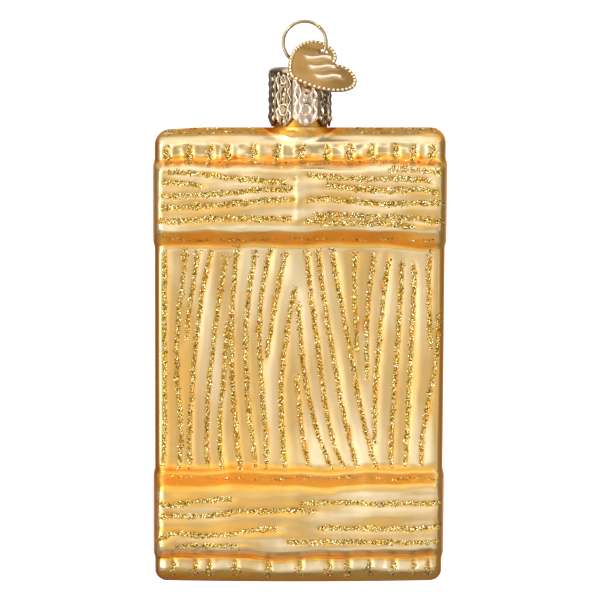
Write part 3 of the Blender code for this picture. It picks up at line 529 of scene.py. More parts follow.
LEVEL_DEPTH, LEVEL_BOARD, LEVEL_FEET = level_table()
PANEL_STREAKS = Patches(1.5, 16.0, 61)
PANEL_FINE = Patches(0.8, 7.0, 62)
FOOT_STREAKS = Patches(12.0, 1.1, 63)
FOOT_FINE = Patches(5.0, 0.6, 64)
DENTS = Patches(5.5, 5.5, 65)
STRIP_DENTS = Patches(1.3, 1.6, 68)
STRIP_TINTS = Patches(1.7, 1.2, 69)
PANEL_TINTS = Patches(3.2, 17.0, 66)
FOOT_TINTS = Patches(9.0, 1.0, 67)


def base_rise(depth):
    board = np.interp(depth, LEVEL_DEPTH, LEVEL_BOARD)
    return board + FOOT_RISE * np.interp(depth, LEVEL_DEPTH, LEVEL_FEET)


def stray(x, depth):
    """How far the foot edges and the colour bands wander off their levels, in millimetres."""
    slow = 0.40 * Wave((37.0, 23.0, 12.5), 21)(x, depth)
    quick = 0.07 * Wave((7.1, 4.3), 22)(x, depth)
    slant = 0.0
    for height, start, level, width in FOOT_SLANTS:
        slant = slant + height * smooth_step(start, 26.0, x) * bell(depth - level, width)
    return (slow + quick + slant) * smooth_step(0.4, 2.6, np.minimum(depth, BODY_HEIGHT - depth))


def foot_zone(foot, depth):
    start, end = [share * BODY_HEIGHT for share in foot["face"]]
    return between(depth, start - 0.3, start + 0.5, end - 0.4, end + 0.4)


def panel_zone(depth):
    low, high = panel_limits()
    return between(depth, low + 0.1, low + 1.6, high - 1.2, high - 0.1)


def strip_zones(depth):
    """How far each point lies on the upper and the lower end strip."""
    low, high = STRIP_TOP * BODY_HEIGHT, FEET[0]["base"][0] * BODY_HEIGHT
    upper = between(depth, low - 0.1, low + 0.8, high - 0.6, high)
    low, high = FEET[1]["base"][1] * BODY_HEIGHT, (1.0 - STRIP_TOP) * BODY_HEIGHT
    return upper, between(depth, low, low + 0.5, high + 0.1, high + 1.0)


def grooved(lines, width):
    """How deep each point lies in soft grooves, from 0 to 1. A line is its distance and its strength."""
    uncut = 1.0
    for away, strength in lines:
        uncut = uncut * (1.0 - strength * bell(away, width))
    return 1.0 - uncut


def relief(x, depth):
    """How far the back is cut in, how close each point is to a glitter groove, and the orange streaks."""
    streak = np.zeros_like(x)
    lines = [(x - grain_centre(k, depth), grain_strength(k, depth)) for k in range(len(GRAIN_LINES))]
    for k, (past, strength) in enumerate(lines):
        shift = 0.55 * Wave((31.0, 14.0), 700 + k)(depth)
        fill = np.clip(1.6 * Wave((23.0, 11.0, 5.3), 730 + k)(depth), 0.0, 1.0)
        streak = np.maximum(streak, strength * fill * bell(past - shift, 0.50))
    narrow = grooved(lines, PANEL_LINE[1])
    zone = panel_zone(depth)
    streaks = PANEL_STREAK_DEPTHS[0] * PANEL_STREAKS(x, depth) + PANEL_STREAK_DEPTHS[1] * PANEL_FINE(x, depth)
    cut = zone * (PANEL_GROOVE[0] * grooved(lines, PANEL_GROOVE[1]) + PANEL_LINE[0] * narrow + streaks)
    near = zone * (0.40 * grooved(lines, PANEL_HALO) + 0.60 * narrow)
    streak = zone * streak

    for f, foot in enumerate(FEET):
        zone = foot_zone(foot, depth)
        lines = []
        for k in range(len(FOOT_GRAIN[f])):
            middle, strength = foot_line(f, k, x)
            past = depth - middle
            lines.append((past, strength))
            fill = np.clip(1.6 * Wave((27.0, 12.0, 5.9), 760 + 20 * f + k)(x) + 0.35, 0.0, 1.0)
            streak = np.maximum(streak, zone * (strength * fill * bell(past + 0.50, 0.30)))
        shallow = grooved(lines, FOOT_GROOVE[1])
        narrow = grooved(lines, FOOT_LINE[1])
        streaks = FOOT_STREAK_DEPTHS[0] * FOOT_STREAKS(x, depth) + FOOT_STREAK_DEPTHS[1] * FOOT_FINE(x, depth)
        cut = cut + zone * (FOOT_GROOVE[0] * shallow + FOOT_LINE[0] * narrow + streaks)
        near = near + zone * (FOOT_SHADES[f] * shallow + 0.50 * narrow)

    ridge_end = np.exp(-(((depth - RIDGE_PLACE[1]) / RIDGE[2]) ** 6))
    cut = cut - RIDGE[0] * (bell(x - RIDGE_PLACE[0], RIDGE[1]) * ridge_end)
    for place, level in PITS:
        pit = bell(np.hypot(x - place, depth - level), PIT[1])
        cut = cut + PIT[0] * pit
        near = near + 0.9 * pit

    for zone, notches, bumpy in zip(strip_zones(depth), (NOTCHES_TOP, NOTCHES_BOTTOM), (1.0, 0.45)):
        lines = []
        rims = []
        for k, place in enumerate(notches):
            past = x - place * HALF_WIDTH / 100.0
            height = 0.55 + 0.45 * math.sin(2.7 * k + 5.0 * bumpy)
            lines.append((past, 1.0))
            for (shift, width), strength in zip(NOTCH_RIM_PLACES, (height, 1.0 - 0.6 * height)):
                rims.append(((past + shift) / width, strength))
        notched = grooved(lines, NOTCH[1])
        bumps = NOTCH[0] * notched - NOTCH_RIM * grooved(rims, 1.0) + 0.20 * STRIP_DENTS(x, depth)
        cut = cut + bumpy * zone * bumps
        near = near + 0.9 * zone * notched
        streak = streak + 0.6 * zone * np.clip(STRIP_TINTS(x, depth) - 0.45, 0.0, 1.0)
    return cut, np.clip(near, 0.0, 1.0), np.clip(streak, 0.0, 1.0)


def side_at(depth):
    """Half width between the corners: the feet stand out a little and the body narrows downwards."""
    share = depth / BODY_HEIGHT
    reach = [np.minimum(share - foot["base"][0], foot["base"][1] - share) for foot in FEET]
    stand_out = smooth_step(-0.6, 0.9, np.maximum(*reach) * BODY_HEIGHT)
    return HALF_WIDTH - 0.5 * WIDTH_TAPER * share - FOOT_STAND_OUT * (1.0 - stand_out)


def middle_at(depth):
    return BODY_MIDDLE - BODY_LEAN * depth / BODY_HEIGHT


def end_lift(x, depth):
    """How far a point sits above its level: the bottom edge bows, and the top edge drops at its left end."""
    share = depth / BODY_HEIGHT
    bow = BOTTOM_BOW * (x / HALF_WIDTH) ** 2 * share ** 4
    outward = np.maximum((TOP_DROP_REACH - HALF_WIDTH - x) / TOP_DROP_REACH, 0.0)
    return bow - TOP_DROP * outward * (1.0 - share) ** 8


def half_width_at(depth):
    half = side_at(depth)
    for radius, reach in ((CORNER_TOP, depth), (CORNER_BOTTOM, BODY_HEIGHT - depth)):
        inside = np.clip(radius - reach, 0.0, radius)
        half = half - (radius - np.sqrt(radius * radius - inside * inside))
    return half


def wall_share(inset):
    """Share of the full height reached at a distance in from the outline."""
    left = 1.0 - np.clip(inset / EDGE_WIDTH, 0.0, 1.0)
    return (1.0 - left ** EDGE_POWER) ** (1.0 / EDGE_POWER)


def neck_fillet(x, depth, rise):
    """The rise raised softly around the foot of the neck, with shares for its flanks, where the cap's shadow
    is painted, and its middle.
    """
    off = (x + middle_at(depth) - CAP_CENTRE[0]) / FILLET_REACH
    height = FILLET_RISE - (FILLET_RISE - BOARD_BACK) * smooth_step(0.2, 3.0, depth)
    height = height - 0.5 * BOARD_BACK * smooth_step(3.0, 6.5, depth)
    neck = np.clip(height * (1.0 - off * off), -FILLET_RISE, None)
    share = np.clip(0.5 + 0.5 * (neck - rise) / FILLET_BLEND, 0.0, 1.0)
    raised = neck * share + rise * (1.0 - share) + FILLET_BLEND * share * (1.0 - share)
    painted_flank_shadow = bell(np.abs(off) - 0.80, 0.30) * fade(0.9, 1.6, depth)
    middle = bell(off, 0.5) * fade(0.8, 1.5, depth)
    return np.where(depth < FILLET_END, raised, rise), painted_flank_shadow, middle


def turned_to(tone, goal, share):
    """A tone moved towards another one by a share."""
    return tone + (goal - tone) * share


def lacquer_tone(x, depth, level, inset):
    """How orange the lacquer is at each point of the back, with painted light and shade, before the sides and
    the neck's foot.
    """
    right = smooth_step(0.0, 8.0, x)
    on_feet = foot_zone(FEET[0], level) + foot_zone(FEET[1], level)
    tone = np.interp(level, *zip(*LACQUER_TONES)) + PANEL_SWAY * panel_zone(level) * PANEL_TINTS(x, depth)
    tone = tone + on_feet * (0.04 + FEET_SWAY * FOOT_TINTS(x, depth))
    # Painted light: the left side darker and the right side lighter
    tone = tone - PAINTED_LIGHT_SLANT * smooth_step(20.0, 75.0, depth) * x / HALF_WIDTH
    tone = tone - 0.06 * smooth_step(3.0, 12.0, x) * fade(0.9, 1.5, depth)
    bright = (depth > panel_limits()[0]) & (depth < DULL_BELOW)
    tone = np.where(bright, np.maximum(tone, 0.0), tone)
    tone = tone + strip_zones(level)[0] * (STRIP_SWAY * STRIP_TINTS(x, depth) - 0.06)
    # Painted shade: the right edge turned a darker gold
    tone = turned_to(tone, SHADED_EDGE_TONE, 0.8 * (right * fade(1.0, 2.8, inset)))
    # Painted highlight: the left edge turned pale
    pale = smooth_step(0.0, 8.0, -x) * fade(1.5, 2.5, inset) * fade(0.45, 0.65, tone)
    return turned_to(tone, HIGHLIGHT_EDGE_TONE, 0.85 * pale)


def back_surface(x, depth):
    """Points of the back in millimetres, with the lacquer's tone and the light and shade painted into it, the
    grooves and the streaks at each.
    """
    inset = half_width_at(depth) - np.abs(x)
    cut, near, streak = relief(x, depth)
    low, high = panel_limits()
    level = depth + stray(x, depth)
    sunk = between(depth, low, low + 9.0, high - 9.0, high)
    cut = cut * smooth_step(0.8, 1.9, inset) + PANEL_SINK * sunk * (1.0 - (x / HALF_WIDTH) ** 2)
    swell = 0.10 * Wave((23.0, 13.0, 7.0), 7)(x, 0.3 * depth) + 0.035 * DENTS(x, depth)
    from_end = np.minimum(depth, BODY_HEIGHT - depth)
    swell = swell * smooth_step(0.8, 2.6, inset) * smooth_step(2.0, 5.0, from_end)
    rise, painted_flank_shadow, middle = neck_fillet(x, depth, (base_rise(level) - cut + swell) * wall_share(inset))
    across = middle_at(depth) + x
    points = np.stack([across, PARTING_Y - rise, BODY_TOP - depth + end_lift(x, depth)], axis=-1)
    tone = turned_to(lacquer_tone(x, depth, level, inset), NECK_FOOT_TONE, middle)
    tone = turned_to(tone, 1.0 - 0.25 * smooth_step(0.0, 8.0, x), fade(0.60, 0.98, inset))
    # Painted shadow of the cap: the fillet's flanks turned deep orange-brown
    return points, turned_to(tone, 1.0, painted_flank_shadow), near, streak


# Mesh helpers

def grid_faces(rows, columns, wrap=False):
    last = columns if wrap else columns - 1
    r, c = np.meshgrid(np.arange(rows - 1), np.arange(last), indexing="ij")
    here = r * columns + c
    beside = r * columns + (c + 1) % columns
    return np.stack([here, beside, beside + columns, here + columns], axis=-1).reshape(-1, 4)


def tube_faces(rows, columns):
    """Faces of a tube of rings, closed at both ends."""
    count = rows * columns
    return [*grid_faces(rows, columns, wrap=True), range(columns), range(count - 1, count - columns - 1, -1)]


def ring_points(centre, radius, height, angle):
    """One ring of points around an upright axis."""
    across = centre[0] + radius * np.cos(angle)
    return np.stack([across, centre[1] + radius * np.sin(angle), height + 0.0 * angle], axis=-1)


def revolved(profile, centre, segments, closed):
    """Points and faces of a turned form that starts on the axis, and ends there too when closed."""
    angle = circle(segments)
    rings = profile[1:-1] if closed else profile[1:]
    points = [[(*centre, profile[0][1])]]
    for radius, height in rings:
        points.append(ring_points(centre, radius, height, angle))
    pairs = [(k, (k + 1) % segments) for k in range(segments)]
    faces = [(0, 1 + k, 1 + follow) for k, follow in pairs]
    faces.extend(1 + grid_faces(len(rings), segments, wrap=True)[:, [0, 3, 2, 1]])
    if closed:
        points.append([(*centre, profile[-1][1])])
        last = 1 + len(rings) * segments
        faces.extend((last - segments + k, last, last - segments + follow) for k, follow in pairs)
    return np.concatenate(points), faces


def make_object(name, points, faces, smooth=True):
    """A mesh object in metres from points in millimetres."""
    mesh = bpy.data.meshes.new(name)
    mesh.from_pydata(np.asarray(points, dtype=float).reshape(-1, 3) * MM, [], [tuple(face) for face in faces])
    mesh.update()
    mesh.polygons.foreach_set("use_smooth", [smooth] * len(mesh.polygons))
    made = bpy.data.objects.new(name, mesh)
    bpy.context.scene.collection.objects.link(made)
    return made


def make_piece(name, points, faces, node, slot, attributes=None, smooth=True):
    """A mesh piece riding on the root in place of a CAD node, its smooth faces turned outward."""
    piece = make_object(name, points, faces, smooth)
    for key, values in (attributes or {}).items():
        layer = piece.data.attributes.new(key, "FLOAT", "POINT")
        layer.data.foreach_set("value", np.asarray(values, dtype=np.float32).ravel())
    adopt(piece, node, slot)
    if smooth:
        face_outward(piece)
    return piece


def adopt(piece, node, slot):
    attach(piece, "root")
    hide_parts(node)


def face_outward(piece):
    builder = bmesh.new()
    builder.from_mesh(piece.data)
    bmesh.ops.recalc_face_normals(builder, faces=builder.faces)
    builder.to_mesh(piece.data)
    builder.free()


# Pieces of the glass body

def body_columns(half):
    """Places across one row: close together on the side walls, even over the back."""
    wall = np.array(WALL_COLUMNS)
    inner = (half - 2.0) * np.linspace(-1.0, 1.0, INNER_COLUMNS)
    return np.concatenate([-half + wall, inner, (half - wall)[::-1]])


def body_rows():
    """Places down the back: close together on the end slopes, the foot edges and the rest even."""
    slope = np.array(SLOPE_ROWS)
    middle = np.linspace(2.25, BODY_HEIGHT - 2.25, INNER_ROWS)
    return np.concatenate([slope, middle, (BODY_HEIGHT - slope)[::-1]])


def make_body():
    rows = body_rows()
    x = np.stack([body_columns(half) for half in half_width_at(rows)])
    depth = np.repeat(rows[:, None], x.shape[1], axis=1)
    points, tone, near, streak = back_surface(x, depth)
    back = points.reshape(-1, 3)

    index = np.arange(x.size).reshape(x.shape)
    rim = np.concatenate([index[0], index[1:-1, -1], index[-1, ::-1], index[-2:0:-1, 0]])
    edge = back[rim]
    middle = middle_at(BODY_TOP - edge[:, 2])
    middle_z = BODY_TOP - 0.5 * BODY_HEIGHT
    loops = [back]
    for inset, height in FRONT_STEPS:
        loop = edge.copy()
        loop[:, 0] = middle + (edge[:, 0] - middle) * (1.0 - inset / HALF_WIDTH)
        loop[:, 2] = middle_z + (edge[:, 2] - middle_z) * (1.0 - inset / (0.5 * BODY_HEIGHT))
        loop[:, 1] = PARTING_Y + height * BOARD_FRONT
        loops.append(loop)
    extra = len(FRONT_STEPS) * len(rim)
    around_rim = np.concatenate([rim, len(back) + np.arange(extra)])
    walls = around_rim[grid_faces(len(FRONT_STEPS) + 1, len(rim), wrap=True)[:, [0, 3, 2, 1]]]
    faces = [*grid_faces(*x.shape), *walls, around_rim[-len(rim):]]
    looks = {}
    for key, values, rest in (("tint", tone, 0.45), ("near", near, 0.0), ("streak", streak, 0.0)):
        looks[key] = np.concatenate([values.ravel(), np.full(extra, rest)])
    return make_piece("glass_board", np.concatenate(loops), faces, *GLASS, looks)


def make_neck():
    """The glass neck under the cap, which runs down into the top of the board."""
    top = CAP_TOP - NECK_TOP_DROP
    profile = [(radius, top - drop) for radius, drop in NECK_LIP]
    for height in np.linspace(CAP_BOTTOM + 2.2, BODY_TOP - 0.1, 12):
        profile.append((NECK_RADIUS, height))
    profile += [(NECK_RADIUS - 0.5, BODY_TOP - 0.5), (0.0, BODY_TOP - 0.6)]
    points, faces = revolved(profile, CAP_CENTRE, NECK_SEGMENTS, closed=True)
    off_middle = np.abs(points[:, 0] - CAP_CENTRE[0]) / NECK_RADIUS
    # Painted shade under the cap: the neck turns deep orange towards its sides, and its darker gold all over
    # is partly its own colour and partly painted shade
    looks = {"tint": 0.58 + 0.42 * smooth_step(0.40, 0.95, off_middle), "near": np.full(len(points), 0.85)}
    return make_piece("glass_neck", points, faces, *GLASS, looks)


# Glitter

def flake_mesh(name, centres, normals, sizes, seed):
    """Closed flat diamonds, one for each centre, tilted a little off the surface."""
    rng = np.random.default_rng(seed)
    count = len(centres)
    tilt = normals + rng.normal(0.0, FLAKE_TILT, (count, 3))
    tilt /= np.linalg.norm(tilt, axis=1, keepdims=True)
    helper = rng.normal(0.0, 1.0, (count, 3))
    first = np.cross(tilt, helper)
    first /= np.linalg.norm(first, axis=1, keepdims=True)
    second = np.cross(tilt, first)
    half = 0.5 * sizes[:, None]
    long = half * rng.uniform(0.85, 1.15, (count, 1))
    short = half * rng.uniform(0.7, 1.0, (count, 1))
    thick = FLAKE_THICKNESS * half
    points = np.stack([
        centres + first * long,
        centres + second * short,
        centres - first * long,
        centres - second * short,
        centres + tilt * thick,
        centres - tilt * thick,
    ], axis=1).reshape(-1, 3)
    pattern = [(k, (k + 1) % 4, 4) for k in range(4)] + [((k + 1) % 4, k, 5) for k in range(4)]
    faces = (np.arange(count)[:, None, None] * 6 + np.array(pattern)[None]).reshape(-1, 3)
    # Each flake's place on the glitter ramp, at random: low values are painted shade, high ones painted
    # sparkle
    shade = np.repeat(rng.uniform(0.0, 1.0, count), 6)
    return make_piece(name, points, faces, *GLASS, {"shade": shade}, smooth=False)


def settle(x, depth, lift):
    """Centres and normals of flakes at given places over the back."""
    step = 0.15
    here = back_surface(x, depth)[0]
    right = back_surface(x + step, depth)[0]
    below = back_surface(x, depth + step)[0]
    normal = np.cross(right - here, below - here)
    normal /= np.linalg.norm(normal, axis=1, keepdims=True)
    normal[normal[:, 1] > 0] *= -1.0
    return here + normal * lift[:, None], normal


def patchy(places, lengths, seed, low, high):
    """Thins out places along a line unevenly."""
    fill = low + high * (0.5 + 0.5 * Wave(lengths, seed)(places))
    return places[RNG.uniform(0.0, 1.0, len(places)) < fill]


def around(count, width):
    """Distances from a line's middle, thick in the middle and ended at its edges."""
    return width * np.clip(RNG.normal(0.0, 1.0, count), -1.7, 1.7)


def along_panel():
    """Flake places along the panel's grain lines."""
    low, high = panel_limits()
    for k, line in enumerate(GRAIN_LINES):
        start, end = [low + share * (high - low) for share in line[5:7]]
        depth = RNG.uniform(start, end, int((end - start) * GLITTER_PER_MM * line[7]))
        depth = patchy(depth, (7.0, 3.4, 1.9), 400 + k, 0.35, 0.85)
        width = PANEL_STREWN * (1.0 + 0.4 * Wave((6.0, 2.3), 500 + k)(depth))
        width = width * (1.0 + 0.6 * fade(0.5, 2.5, depth - start))
        yield grain_centre(k, depth) + around(len(depth), width), depth


def along_feet():
    """Flake places along the grain of both feet, with the thin broken lines on their sloped sides."""
    for f, lines in enumerate(FOOT_GRAIN):
        for k, line in enumerate(lines):
            start, end = [line[i][0] * HALF_WIDTH / 100.0 for i in (0, -1)]
            x = RNG.uniform(start, end, int((end - start) * FOOT_GLITTER_PER_MM))
            x = patchy(x, (9.0, 4.1, 2.2), 600 + 20 * f + k, 0.25, 0.95)
            width = FEET_STREWN[f] * (1.0 + 0.40 * Wave((7.0, 3.1), 640 + 20 * f + k)(x))
            yield x, foot_line(f, k, x)[0] + around(len(x), width)
    for level, density, seed in FOOT_SIDE_LINES:
        x = RNG.uniform(-0.94, 0.94, int(2 * HALF_WIDTH * density)) * HALF_WIDTH
        x = patchy(x, (12.0, 6.1, 3.3), seed, -0.35, 1.5)
        sway = 0.35 * Wave((30.0, 11.0), seed + 5)(x)
        yield x, level * BODY_HEIGHT + sway + around(len(x), 0.11)


def along_strips():
    """Flake places in the notches of the end strips and along the top slope."""
    for notches, low, high, most in STREWN_NOTCHES:
        for place in notches:
            count = int(RNG.uniform(0.5, 1.0) * most)
            lean = RNG.uniform(-0.5, 0.5)
            turn = RNG.uniform(0.0, 2.0 * math.pi)
            share = RNG.uniform(0.0, 1.0, count)
            sway = lean * (share - 0.5) + 0.22 * np.sin(8.0 * share + turn)
            width = 0.16 + 0.34 * np.sin(math.pi * share ** 1.4)
            x = place * HALF_WIDTH / 100.0 + sway + around(count, width)
            yield x, (low + (high - low) * share) * BODY_HEIGHT
    for level, density, seed in TOP_SLOPE_LINES:
        x = RNG.uniform(-0.93, 0.93, int(2 * HALF_WIDTH * density)) * HALF_WIDTH
        x = patchy(x, (10.0, 5.1, 2.7), seed, -0.4, 1.7)
        x = x[np.abs(x) > 1.05 * FILLET_REACH]
        depth = level * BODY_HEIGHT + 0.15 * Wave((17.0, 8.0), seed + 5)(x) + around(len(x), 0.08)
        yield x, np.clip(depth, 0.05, None)


def make_glitter():
    made = []
    parts = (("glitter_panel", along_panel), ("glitter_feet", along_feet), ("glitter_strips", along_strips))
    for seed, (name, places) in enumerate(parts, 1):
        x, depth = [np.concatenate(values) for values in zip(*places())]
        sizes = RNG.uniform(*FLAKE_SIZES, len(x))
        centres, normals = settle(x, depth, RNG.uniform(0.0, FLAKE_LIFT, len(x)))
        made.append(flake_mesh(name, centres, normals, sizes, seed))
    return made


# Cap

def lobes(angle):
    """The crimped lobe of the cap at each angle, how far from its middle (-0.5 to 0.5), and its span."""
    from_front = (np.degrees(angle) + 90.0 - CAP_LOBE_EDGES[0]) % 360.0
    edges = np.array(CAP_LOBE_EDGES + (CAP_LOBE_EDGES[0] + 360.0,)) - CAP_LOBE_EDGES[0]
    turn = np.interp(from_front, edges, np.arange(len(edges)))
    lobe = np.clip(np.floor(turn).astype(int), 0, len(edges) - 2)
    return lobe, turn - lobe - 0.5, np.radians(np.diff(edges)[lobe])


def cap_relief(angle, height):
    """Stamped pattern of the cap wall: waves, rings and dots, in millimetres outward."""
    lobe, off, span = lobes(angle)
    across = off * span * CAP_RADIUS
    half = 0.5 * span * CAP_RADIUS
    out = np.zeros_like(across)
    for side in (-1.0, 1.0):
        turn = 1.7 * lobe + 0.9 * side
        sway = 0.24 * np.sin(2.0 * math.pi * height / 3.0 + turn)
        bold = 0.75 + 0.25 * np.sin(2.0 * math.pi * height / 1.5 + 2.3 * turn)
        place = side * (half - 0.72)
        out += 0.26 * bold * bell(across - place - sway, 0.20)
        out += 0.10 * bell(across - 0.62 * place + 0.8 * sway, 0.14)
        out += 0.20 * bell(np.hypot(across - side * (half - 0.55), height - 9.75), 0.42)
    for place, size, slim in CAP_RINGS:
        out += 0.20 * bell(np.hypot(across / slim, height - place) - size, 0.19)
    for x, z, size in CAP_DOTS:
        out += 0.18 * bell(np.hypot(across - x, height - z), size)
    return out * smooth_step(0.9, 1.5, height)


def make_cap():
    angle = circle(CAP_SEGMENTS)
    lobe, off, span = lobes(angle)
    phase = np.abs(2.0 * off)
    flat = 1.0 - CAP_FLATNESS * (1.0 - np.cos(0.5 * span) / np.cos(off * span))
    groove = bell((1.0 - phase) * 0.5 * span * CAP_RADIUS, 0.16)
    scallop = CAP_SCALLOP * phase ** CAP_SCALLOP_POWER
    tip_sag = CAP_TIP_SAG * (1.0 - phase)
    # Painted reflection on the lobe that faces the lights and painted shade on the other lobes
    lobe_sheen_and_shade = np.where(lobe == CAP_LIT_LOBE, *CAP_LOBE_SHEEN_AND_SHADE)
    inner_radius = CAP_RADIUS - CAP_WALL
    height = CAP_TOP - CAP_BOTTOM
    rows = []
    worn_and_sheen = []

    def ring(radius, z, crease=0.0, outward=0.0, polish_and_sheen=0.35):
        r = radius * (1.0 - crease * (1.0 - flat)) - crease * CAP_CREASE * groove + outward
        rows.append(ring_points(CAP_CENTRE, r, z, angle))
        worn_and_sheen.append(np.clip(polish_and_sheen + lobe_sheen_and_shade * crease, 0.0, 1.0))

    for radius in CAP_DISC:
        ring(radius, CAP_TOP - 0.14 + 0.04 * math.cos(radius))
    beads = 0.5 + 0.5 * np.cos(CAP_BEADS * angle)
    for radius, z in CAP_BEAD_ROWS:
        ring(radius, CAP_TOP + z - 0.13 * bell(radius - CAP_BEAD_RADIUS, 0.2) * (1.0 - beads))
    for radius, z in CAP_SHOULDER:
        ring(radius, CAP_TOP + z)
    for k in range(CAP_ROWS + 1):
        share = k / CAP_ROWS
        drop = CAP_SHOULDER_DROP + (height - CAP_SHOULDER_DROP) * share
        lift = scallop * smooth_step(0.55, 1.0, share)
        raised = cap_relief(angle, drop - lift) * fade(0.97, 1.0, share)
        z = CAP_TOP - drop + lift - tip_sag * smooth_step(0.80, 1.0, share)
        # The raised pattern is rubbed bright and also carries a painted highlight
        ring(CAP_RADIUS + 0.12, z, smooth_step(0.0, 0.10, share), raised - 0.12, raised / 0.16)
    ring(inner_radius, CAP_BOTTOM + scallop - tip_sag, 1.0)
    ring(inner_radius, CAP_BOTTOM + 0.5 * height, 1.0)
    for inward, drop in ((0.0, 1.4), (0.1, 0.8), (0.7, CAP_WALL)):
        ring(inner_radius - inward, CAP_TOP - drop)
    ring(CAP_DISC[0], CAP_TOP - CAP_WALL)
    faces = tube_faces(len(rows), CAP_SEGMENTS)
    return make_piece("stamped_cap", rows, faces, "cap", "cap_metal", {"worn_and_sheen": worn_and_sheen})


# Ring

def on_ring(degrees):
    """Places across and up on the centre line of the ring."""
    radius = RING_INNER_RADIUS + 0.5 * WIRE_DIAMETER
    angle = np.radians(degrees)
    return np.stack([radius * np.cos(angle), radius * np.sin(angle) - RING_INNER_RADIUS], axis=-1)


def ring_path():
    """Centre line of the wire in the plane Y = 0, one smooth run from leg end to leg end."""
    neck_top = CAP_TOP - CAP_WALL - 0.3
    bend_top = CAP_TOP + BEND_ABOVE_CAP
    x = 0.5 * LEG_SPACING
    arc = on_ring(np.linspace(270.0 - RING_OPEN_ANGLE, -90.0 + RING_OPEN_ANGLE, 81))
    legs = []
    for side, spread, end in zip((-1.0, 1.0), LEG_SPREAD, arc[[0, -1]]):
        legs.append(np.array([
            (side * (x + spread), neck_top - LEG_LENGTH),
            (side * (x + 0.25 * spread), neck_top - 0.35 * LEG_LENGTH),
            (side * x, neck_top),
            (side * x, CAP_TOP + LEG_ABOVE_CAP),
            (side * (x + BEND_OUT), bend_top),
            (side * (0.55 * x + 0.45 * abs(end[0])), 0.38 * bend_top + 0.62 * end[1]),
        ]))
    return np.concatenate([legs[0], arc, legs[1][::-1]])


def make_ring():
    path = ring_path()
    ahead = np.vstack([path[1:], path[-1:]]) - np.vstack([path[:1], path[:-1]])
    ahead /= np.linalg.norm(ahead, axis=1, keepdims=True)
    angle = circle(WIRE_SIDES)
    out = 0.5 * WIRE_DIAMETER * np.sin(angle)
    x = path[:, :1] - ahead[:, 1:] * out
    y = 0.0 * x + 0.5 * WIRE_DIAMETER * np.cos(angle)
    z = path[:, 1:] + ahead[:, :1] * out
    points = np.stack([x, y, z], axis=-1)
    return make_piece("wire_ring", points, tube_faces(len(path), WIRE_SIDES), "ring", "ring_wire")


# Tag

def tag_frame():
    """The tag's own directions along, across and out of its plane, and the middle of its hole."""
    normal = Vector((-TAG_SLOPE[0], 1.0, -TAG_SLOPE[1])).normalized()
    level = Vector((0.0, 0.0, 1.0)).cross(normal).normalized()
    steep = normal.cross(level)
    roll = math.radians(TAG_ROLL)
    along = level * math.cos(roll) + steep * math.sin(roll)
    across = -level * math.sin(roll) + steep * math.cos(roll)
    x, z = on_ring(TAG_ON_RING_ANGLE)
    hole = Vector((x, 0.0, z)) + TAG_HOLE_SHIFT[0] * along + TAG_HOLE_SHIFT[1] * across
    return [np.array(vector) for vector in (along, across, normal, hole)]


def points_along(places, run, line):
    """Points of a line at given distances along its run."""
    return np.stack([np.interp(places, run, line[:, i]) for i in (0, 1)], axis=-1)


def heart_outline(count):
    """Evenly spaced points of the heart, along and across it, starting in the cleft."""
    middle = TAG_HALF_WIDTH - TAG_LOBE_RADIUS
    cleft = math.asin((middle - TAG_CLEFT_ROUND) / TAG_LOBE_RADIUS)
    half = []
    for angle in np.linspace(-cleft, math.pi / 2.0, 60):
        half.append((TAG_LOBE_RADIUS * (math.cos(angle) - 1.0), middle + TAG_LOBE_RADIUS * math.sin(angle)))
    reach = TAG_LENGTH - TAG_LOBE_RADIUS
    for share in np.sin(0.5 * math.pi * np.linspace(0.0, 1.0, 90))[1:]:
        across = TAG_HALF_WIDTH * (1.0 - share * share) ** TAG_SIDE_POWER
        half.append((-TAG_LOBE_RADIUS - reach * share, across))
    points = np.array(half + [(along, -across) for along, across in reversed(half[:-1])])
    closed = np.vstack([points, points[:1]])
    run = np.concatenate([[0.0], np.cumsum(np.linalg.norm(np.diff(closed, axis=0), axis=1))])
    return points_along(np.linspace(0.0, run[-1], count, endpoint=False), run, closed)


def tag_relief(outline, centre, grid):
    """Height of the beads inside the rim and of the wavy strokes, at points along and across the tag."""
    tangent = np.roll(outline, -1, axis=0) - np.roll(outline, 1, axis=0)
    tangent /= np.linalg.norm(tangent, axis=1, keepdims=True)
    inward = np.stack([-tangent[:, 1], tangent[:, 0]], axis=-1)
    if np.mean(np.sum(inward * (centre - outline), axis=1)) < 0:
        inward = -inward
    picks = (np.arange(TAG_BEADS) + 0.5) * len(outline) / TAG_BEADS
    beads = points_along(picks, np.arange(len(outline)), outline + TAG_BEAD_INSET * inward)
    away = np.sqrt(((grid[:, None, :] - beads[None]) ** 2).sum(axis=2)).min(axis=1)
    raised = TAG_BEAD[0] * np.sqrt(np.clip(1.0 - (away / TAG_BEAD[1]) ** 2, 0.0, 1.0))
    turn = math.radians(TAG_STROKE_TURN)
    for place in TAG_STROKES:
        along, across = (grid - place).T
        u = along * math.cos(turn) + across * math.sin(turn)
        v = -along * math.sin(turn) + across * math.cos(turn)
        away = np.hypot(np.clip(np.abs(u) - TAG_STROKE_REACH, 0.0, None), v + 0.20 * np.sin(1.3 * u))
        raised += TAG_STROKE[0] * bell(away, TAG_STROKE[1])
    return raised


